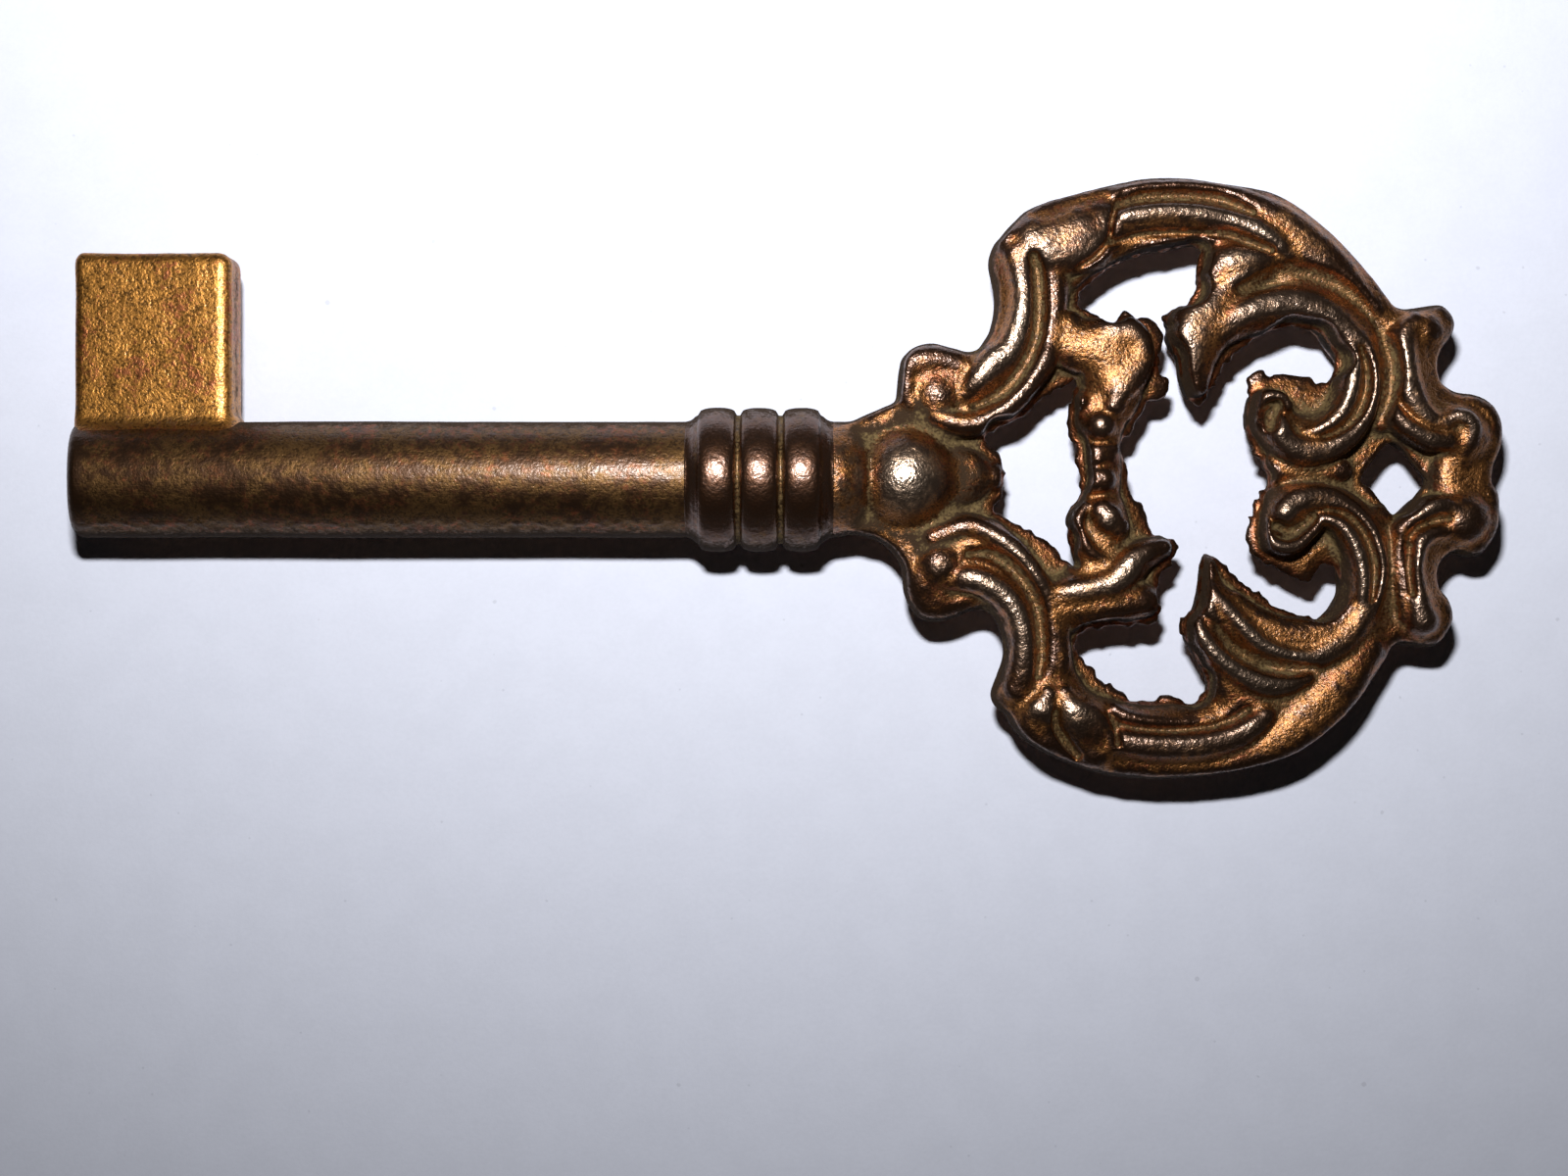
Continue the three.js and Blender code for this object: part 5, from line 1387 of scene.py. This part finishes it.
def cast_bit(sizes):
    """The bit's field: a rounded plate that is filleted onto the barrel's round wall."""
    border = sizes.grid_cell * GRID_BORDER
    half_thickness = (bit_high.z - bit_low.z) / 2
    root_height = half_thickness + sizes.bit_fillet
    root = axis_y + math.sqrt(max(barrel_radius ** 2 - root_height ** 2, 0)) - BIT_SHELL
    low = (bit_low.x - border, root - border)
    high = (bit_high.x + border, bit_high.y + border)
    casting = Casting(low, high, root_height + border, sizes.grid_cell)
    whole, x, y = casting.window()
    middle_x = (bit_low.x + bit_high.x - BIT_FLARE) / 2
    half_length = (bit_high.x - BIT_FLARE - bit_low.x) / 2
    middle_y = axis_y + bit_high.y / 2
    half_width = bit_high.y - middle_y
    corner = sizes.bit_round
    side_edge = np.where(x > middle_x, BIT_EDGE, corner)
    gaps = np.stack(np.broadcast_arrays(
        ((np.abs(x - middle_x) - half_length + side_edge) * corner / side_edge)[..., None],
        ((np.abs(y - middle_y) - half_width + BIT_TOP_EDGE) * corner / BIT_TOP_EDGE)[..., None],
        casting.z - half_thickness + corner))
    plate = np.linalg.norm(np.maximum(gaps, 0), axis=0) + np.minimum(gaps.max(axis=0), 0) - corner
    wall = np.sqrt((y - axis_y)[..., None] ** 2 + casting.z ** 2) - barrel_radius + BIT_SINK
    clear_of_tip = np.maximum(wall, (bit_low.x + BIT_SHELL - x)[..., None])
    casting.field[whole] = softer_least(plate, clear_of_tip, sizes.bit_fillet)
    near = np.maximum(root - y, np.maximum(bit_low.x - x, x - bit_high.x))[..., None]
    near = np.maximum(near, np.maximum(-wall - BIT_SHELL, casting.z - root_height))
    casting.keep(whole, near, CUT_FILLET)
    return casting


def make_cast(name, casting, lumps, node, material):
    """A cast piece, with its wear, painted shade, grime, flash and polish worked out from its shape."""
    points, faces = casting.skin()
    points = smoothed(points, faces, SKIN_ROUNDS)
    normals = point_normals(points, faces)
    wear = np.clip(standing_out(points, faces, normals, WEAR_ROUNDS) / WEAR_DEPTH, -1, 1)
    # nook: how deep each point lies in a wide hollow; dust gathers there, and the dark layer paints shade
    # into it
    nook = np.clip(-standing_out(points, faces, normals, NOOK_ROUNDS) / NOOK_DEPTH, 0, 1)
    points = lumpy(points, normals, lumps)
    steep = 1 - np.abs(normals[:, 2])
    height = np.abs(points[:, 2])
    # The ring of grime and painted shade round the ball, at each point
    grimy = casting.plan_values(casting.grime, points)
    rubbed = np.clip(POLISH_GAIN * wear, 0, 1) * (1 - grimy)
    polish = np.interp(height, casting.polish_heights, (0, 1)) * rubbed
    low = 1 - height / height.max()
    flash = casting.plan_values(casting.flash, points) * np.interp(low, FLASH_LOW_SHARES, (0, 1))
    flash = flash * np.interp(steep, FLASH_STEEP_SHARES, (1, 0))
    # The low value becomes painted shade: level metal keeps part of it, steep walls keep all of it, and
    # every steep face gets more
    low = low * (LEVEL_LOW_SHARE + (1 - LEVEL_LOW_SHARE) * steep) + STEEP_SHADE * steep
    # Grime and painted shade round the ball join the low value, kept off the worn crests
    low = np.maximum(low, BALL_GRIME_AND_SHADE * grimy * (1 - np.clip(wear, 0, 1)))
    points = points + np.array([0, 0, axis_z])
    surface = {"wear": wear, "low": low, "nook": nook, "flash": flash, "polish": polish}
    return make_piece(name, points, [faces], surface, node, material)


def barrel_profile(sizes):
    """From the bore's cone out through its mouth, round the barrel's edge and along to its far end."""
    bore = sizes.bore_diameter / 2
    edge = sizes.edge_round
    start = barrel_low.x
    bore_edge = BORE_EDGE_SHARE * edge
    return [
        (start + sizes.bore_depth + BORE_CONE_SHARE * bore, 0),
        (start + sizes.bore_depth, bore),
        *arc(start + bore_edge, bore + bore_edge, bore_edge, 270, 180, ARC_STEPS),
        *arc(start + edge, barrel_radius - edge, edge, 180, 90, ARC_STEPS),
        (barrel_high.x, barrel_radius),
        (barrel_high.x, 0),
    ]


def weathered_barrel(sizes, points):
    """Wears the barrel's end back on its broad faces, and raises a ragged mould seam along its side."""
    across, up = points[:, 1] - axis_y, points[:, 2] - axis_z
    radius = np.hypot(across, up)
    near_tip = np.clip(1 - (points[:, 0] - barrel_low.x) / TIP_WEAR_REACH, 0, 1)
    worn = points.copy()
    worn[:, 0] += sizes.tip_wear * near_tip * (up / barrel_radius) ** 2
    angle = np.arctan2(-across, up) - math.radians(SEAM_ANGLE)
    size, seed = SEAM_LUMPS
    ragged = lattice_noise(points, size, seed)
    height = sizes.seam_height * ragged * np.exp(-(angle * barrel_radius / sizes.seam_half_width) ** 2)
    height = height * (radius > SEAM_FROM_SHARE * barrel_radius) / np.maximum(radius, TINY)
    worn[:, 1] += across * height
    worn[:, 2] += up * height
    return worn


def collar_profile(sizes):
    """A slope up from the barrel, round beads with narrow grooves between them, and a slope down."""
    bead_radius = (collar_high.z - collar_low.z) / 2
    slope_radius = bead_radius - sizes.bead_depth
    bore = barrel_radius + COLLAR_PLAY
    room = collar_high.x - collar_low.x - 2 * sizes.collar_slope
    pitch = room / sizes.bead_count
    bead = pitch - sizes.bead_gap
    profile = [(collar_low.x, bore)]
    profile += slope(collar_low.x, bore, collar_low.x + sizes.collar_slope, slope_radius)
    for number in range(sizes.bead_count):
        start = collar_low.x + sizes.collar_slope + number * pitch + sizes.bead_gap / 2
        for k in range(BEAD_POINTS + 1):
            share = k / BEAD_POINTS
            swell = max(1 - abs(2 * share - 1) ** BEAD_POWER, 0) ** (1 / BEAD_POWER)
            profile.append((start + share * bead, bead_radius - sizes.bead_depth * (1 - swell)))
    profile += slope(collar_high.x - sizes.collar_slope, slope_radius, collar_high.x, bore)
    profile.append((collar_high.x, bore))
    return profile


def slope(start_x, start_r, end_x, end_r):
    """Points of a profile on a hollow curve that is level at its lower end."""
    low, high = min(start_r, end_r), max(start_r, end_r)
    rise = [(k / ARC_STEPS) ** 2 for k in range(1, ARC_STEPS)]
    if end_r < start_r:
        rise = rise[::-1]
    return [
        (start_x + (end_x - start_x) * k / ARC_STEPS, low + (high - low) * share)
        for k, share in zip(range(1, ARC_STEPS), rise)]


def pin_points(points):
    """Turns a piece made along the key's axis to stand across the collar."""
    middle = (pin_low + pin_high) / 2
    along, across, up = points.T
    return np.column_stack([
        middle.x + across - axis_y, axis_y + along - middle.x, up - axis_z + middle.z])


def pin_profile():
    """The pin's profile, along the key's axis until it is turned across the collar."""
    radius = (pin_high.x - pin_low.x) / 2
    middle = (pin_low.x + pin_high.x) / 2
    half = (pin_high.y - pin_low.y) / 2
    edge = PIN_EDGE_SHARE * radius
    return [
        (middle - half, 0),
        *arc(middle - half + edge, radius - edge, edge, 180, 90, ARC_STEPS // 2),
        *arc(middle + half - edge, radius - edge, edge, 90, 0, ARC_STEPS // 2),
        (middle + half, 0),
    ]


# The stage

def make_floor(material):
    half = FLOOR_SIZE / 2
    corners = [(-half, -half, 0), (half, -half, 0), (half, half, 0), (-half, half, 0)]
    mesh = bpy.data.meshes.new("floor")
    mesh.from_pydata(corners, [], [(0, 1, 2, 3)])
    mesh.materials.append(material)
    new_object("floor", mesh)


def make_lamp():
    data = bpy.data.lights.new("soft_lamp", "AREA")
    data.shape = "DISK"
    data.size = LAMP_SIZE
    data.energy = LAMP_POWER
    lamp = new_object("soft_lamp", data)
    lamp.location = below_camera() + Vector(LAMP_PLACE)
    target = below_camera() + Vector((*LAMP_TARGET, 0))
    lamp.rotation_mode = "QUATERNION"
    lamp.rotation_quaternion = (target - lamp.location).to_track_quat("-Z", "Y")


def make_surroundings(scene, colours):
    """Dim even light from all round, a paler horizon in reflections and a plain ground for the camera."""
    world = bpy.data.worlds.new("surroundings")
    scene.world = world
    finish = Finish(world)
    dim, horizon = (
        finish.node("ShaderNodeBackground", {}, {"Color": (1, 1, 1, 1), "Strength": strength})
        for strength in (AMBIENT_STRENGTH, HORIZON_STRENGTH))
    plain = finish.node("ShaderNodeBackground", {}, {"Color": opaque(colours.backdrop), "Strength": 1})
    direction = finish.node("ShaderNodeTexCoord").outputs["Generated"]
    height = finish.value("ShaderNodeSeparateXYZ", {}, {0: direction}, output="Z")
    glossy_ray = finish.value("ShaderNodeLightPath", output="Is Glossy Ray")
    camera_ray = finish.value("ShaderNodeLightPath", output="Is Camera Ray")
    low_share = 1 - finish.levels(height, 0, HORIZON_HEIGHT_SHARE)
    room = finish.blend(glossy_ray * low_share, dim, horizon)
    finish.finished("ShaderNodeOutputWorld", finish.blend(camera_ray, room, plain))


def make_camera(scene):
    data = bpy.data.cameras.new("camera")
    data.sensor_width = SENSOR_WIDTH
    data.lens = SENSOR_WIDTH * CAMERA_HEIGHT / (IMAGE_WIDTH_PIXELS * PIXEL_SIZE)
    data.clip_start = CAMERA_NEAR_SHARE * CAMERA_HEIGHT
    camera = new_object("camera", data)
    camera.location = below_camera() + Vector((0, 0, CAMERA_HEIGHT))
    scene.camera = camera


# The steps, as operators

class KEY_OT_bow(bpy.types.Operator):
    """Make the cast bow with its neck and ball boss"""

    bl_idname = "key.bow"
    bl_label = "Bow"

    def execute(self, context):
        sizes, colours = context.scene.key_sizes, context.scene.key_colours
        make_cast("bow_casting", cast_bow(sizes), CAST_LUMPS, "bow", bow_metal(colours))
        return {"FINISHED"}


class KEY_OT_bit(bpy.types.Operator):
    """Make the cast bit with its fillet onto the barrel"""

    bl_idname = "key.bit"
    bl_label = "Bit"

    def execute(self, context):
        sizes, colours = context.scene.key_sizes, context.scene.key_colours
        make_cast("bit_plate", cast_bit(sizes), BIT_LUMPS, "bit", bit_metal(colours))
        return {"FINISHED"}


class KEY_OT_barrel(bpy.types.Operator):
    """Make the round barrel with its bore"""

    bl_idname = "key.barrel"
    bl_label = "Barrel"

    def execute(self, context):
        sizes, colours = context.scene.key_sizes, context.scene.key_colours
        make_turned(
            "barrel_tube", barrel_profile(sizes), TURNED_LUMPS, "barrel", barrel_metal(colours),
            TURNED_SEGMENTS, lambda points: weathered_barrel(sizes, points))
        return {"FINISHED"}


class KEY_OT_collar(bpy.types.Operator):
    """Make the beaded collar and the pin across it"""

    bl_idname = "key.collar"
    bl_label = "Collar and pin"

    def execute(self, context):
        sizes, colours = context.scene.key_sizes, context.scene.key_colours
        finish = collar_metal(colours)
        make_turned("collar_beads", collar_profile(sizes), TURNED_LUMPS, "collar", finish, TURNED_SEGMENTS)
        make_turned("collar_pin_round", pin_profile(), (), "collar_pin", finish, PIN_SEGMENTS, pin_points)
        return {"FINISHED"}


class KEY_OT_stage(bpy.types.Operator):
    """Make the paper, the lamp, the surroundings and the camera"""

    bl_idname = "key.stage"
    bl_label = "Stage"

    def execute(self, context):
        colours = context.scene.key_colours
        context.scene.view_settings.view_transform = "Standard"
        make_floor(paper(colours))
        make_lamp()
        make_surroundings(context.scene, colours)
        make_camera(context.scene)
        return {"FINISHED"}


class KEY_PT_steps(bpy.types.Panel):
    """The key's steps, sizes and colours"""

    bl_label = "Barrel key"
    bl_idname = "KEY_PT_steps"
    bl_space_type = "VIEW_3D"
    bl_region_type = "UI"
    bl_category = "Key"

    def draw(self, context):
        column = self.layout.column()
        for step in STEPS:
            column.operator(step.bl_idname)
        for group in (context.scene.key_sizes, context.scene.key_colours):
            for name in group.__annotations__:
                column.prop(group, name)


STEPS = (KEY_OT_bow, KEY_OT_bit, KEY_OT_barrel, KEY_OT_collar, KEY_OT_stage)
CLASSES = (KeySizes, KeyColours, *STEPS, KEY_PT_steps)


def register():
    for made in CLASSES:
        bpy.utils.register_class(made)
    bpy.types.Scene.key_sizes = PointerProperty(type=KeySizes)
    bpy.types.Scene.key_colours = PointerProperty(type=KeyColours)


def unregister():
    del bpy.types.Scene.key_sizes
    del bpy.types.Scene.key_colours
    for made in reversed(CLASSES):
        bpy.utils.unregister_class(made)


def main():
    register()
    bpy.ops.key.bow()
    bpy.ops.key.bit()
    bpy.ops.key.barrel()
    bpy.ops.key.collar()
    bpy.ops.key.stage()


if __name__ == "__main__":
    main()
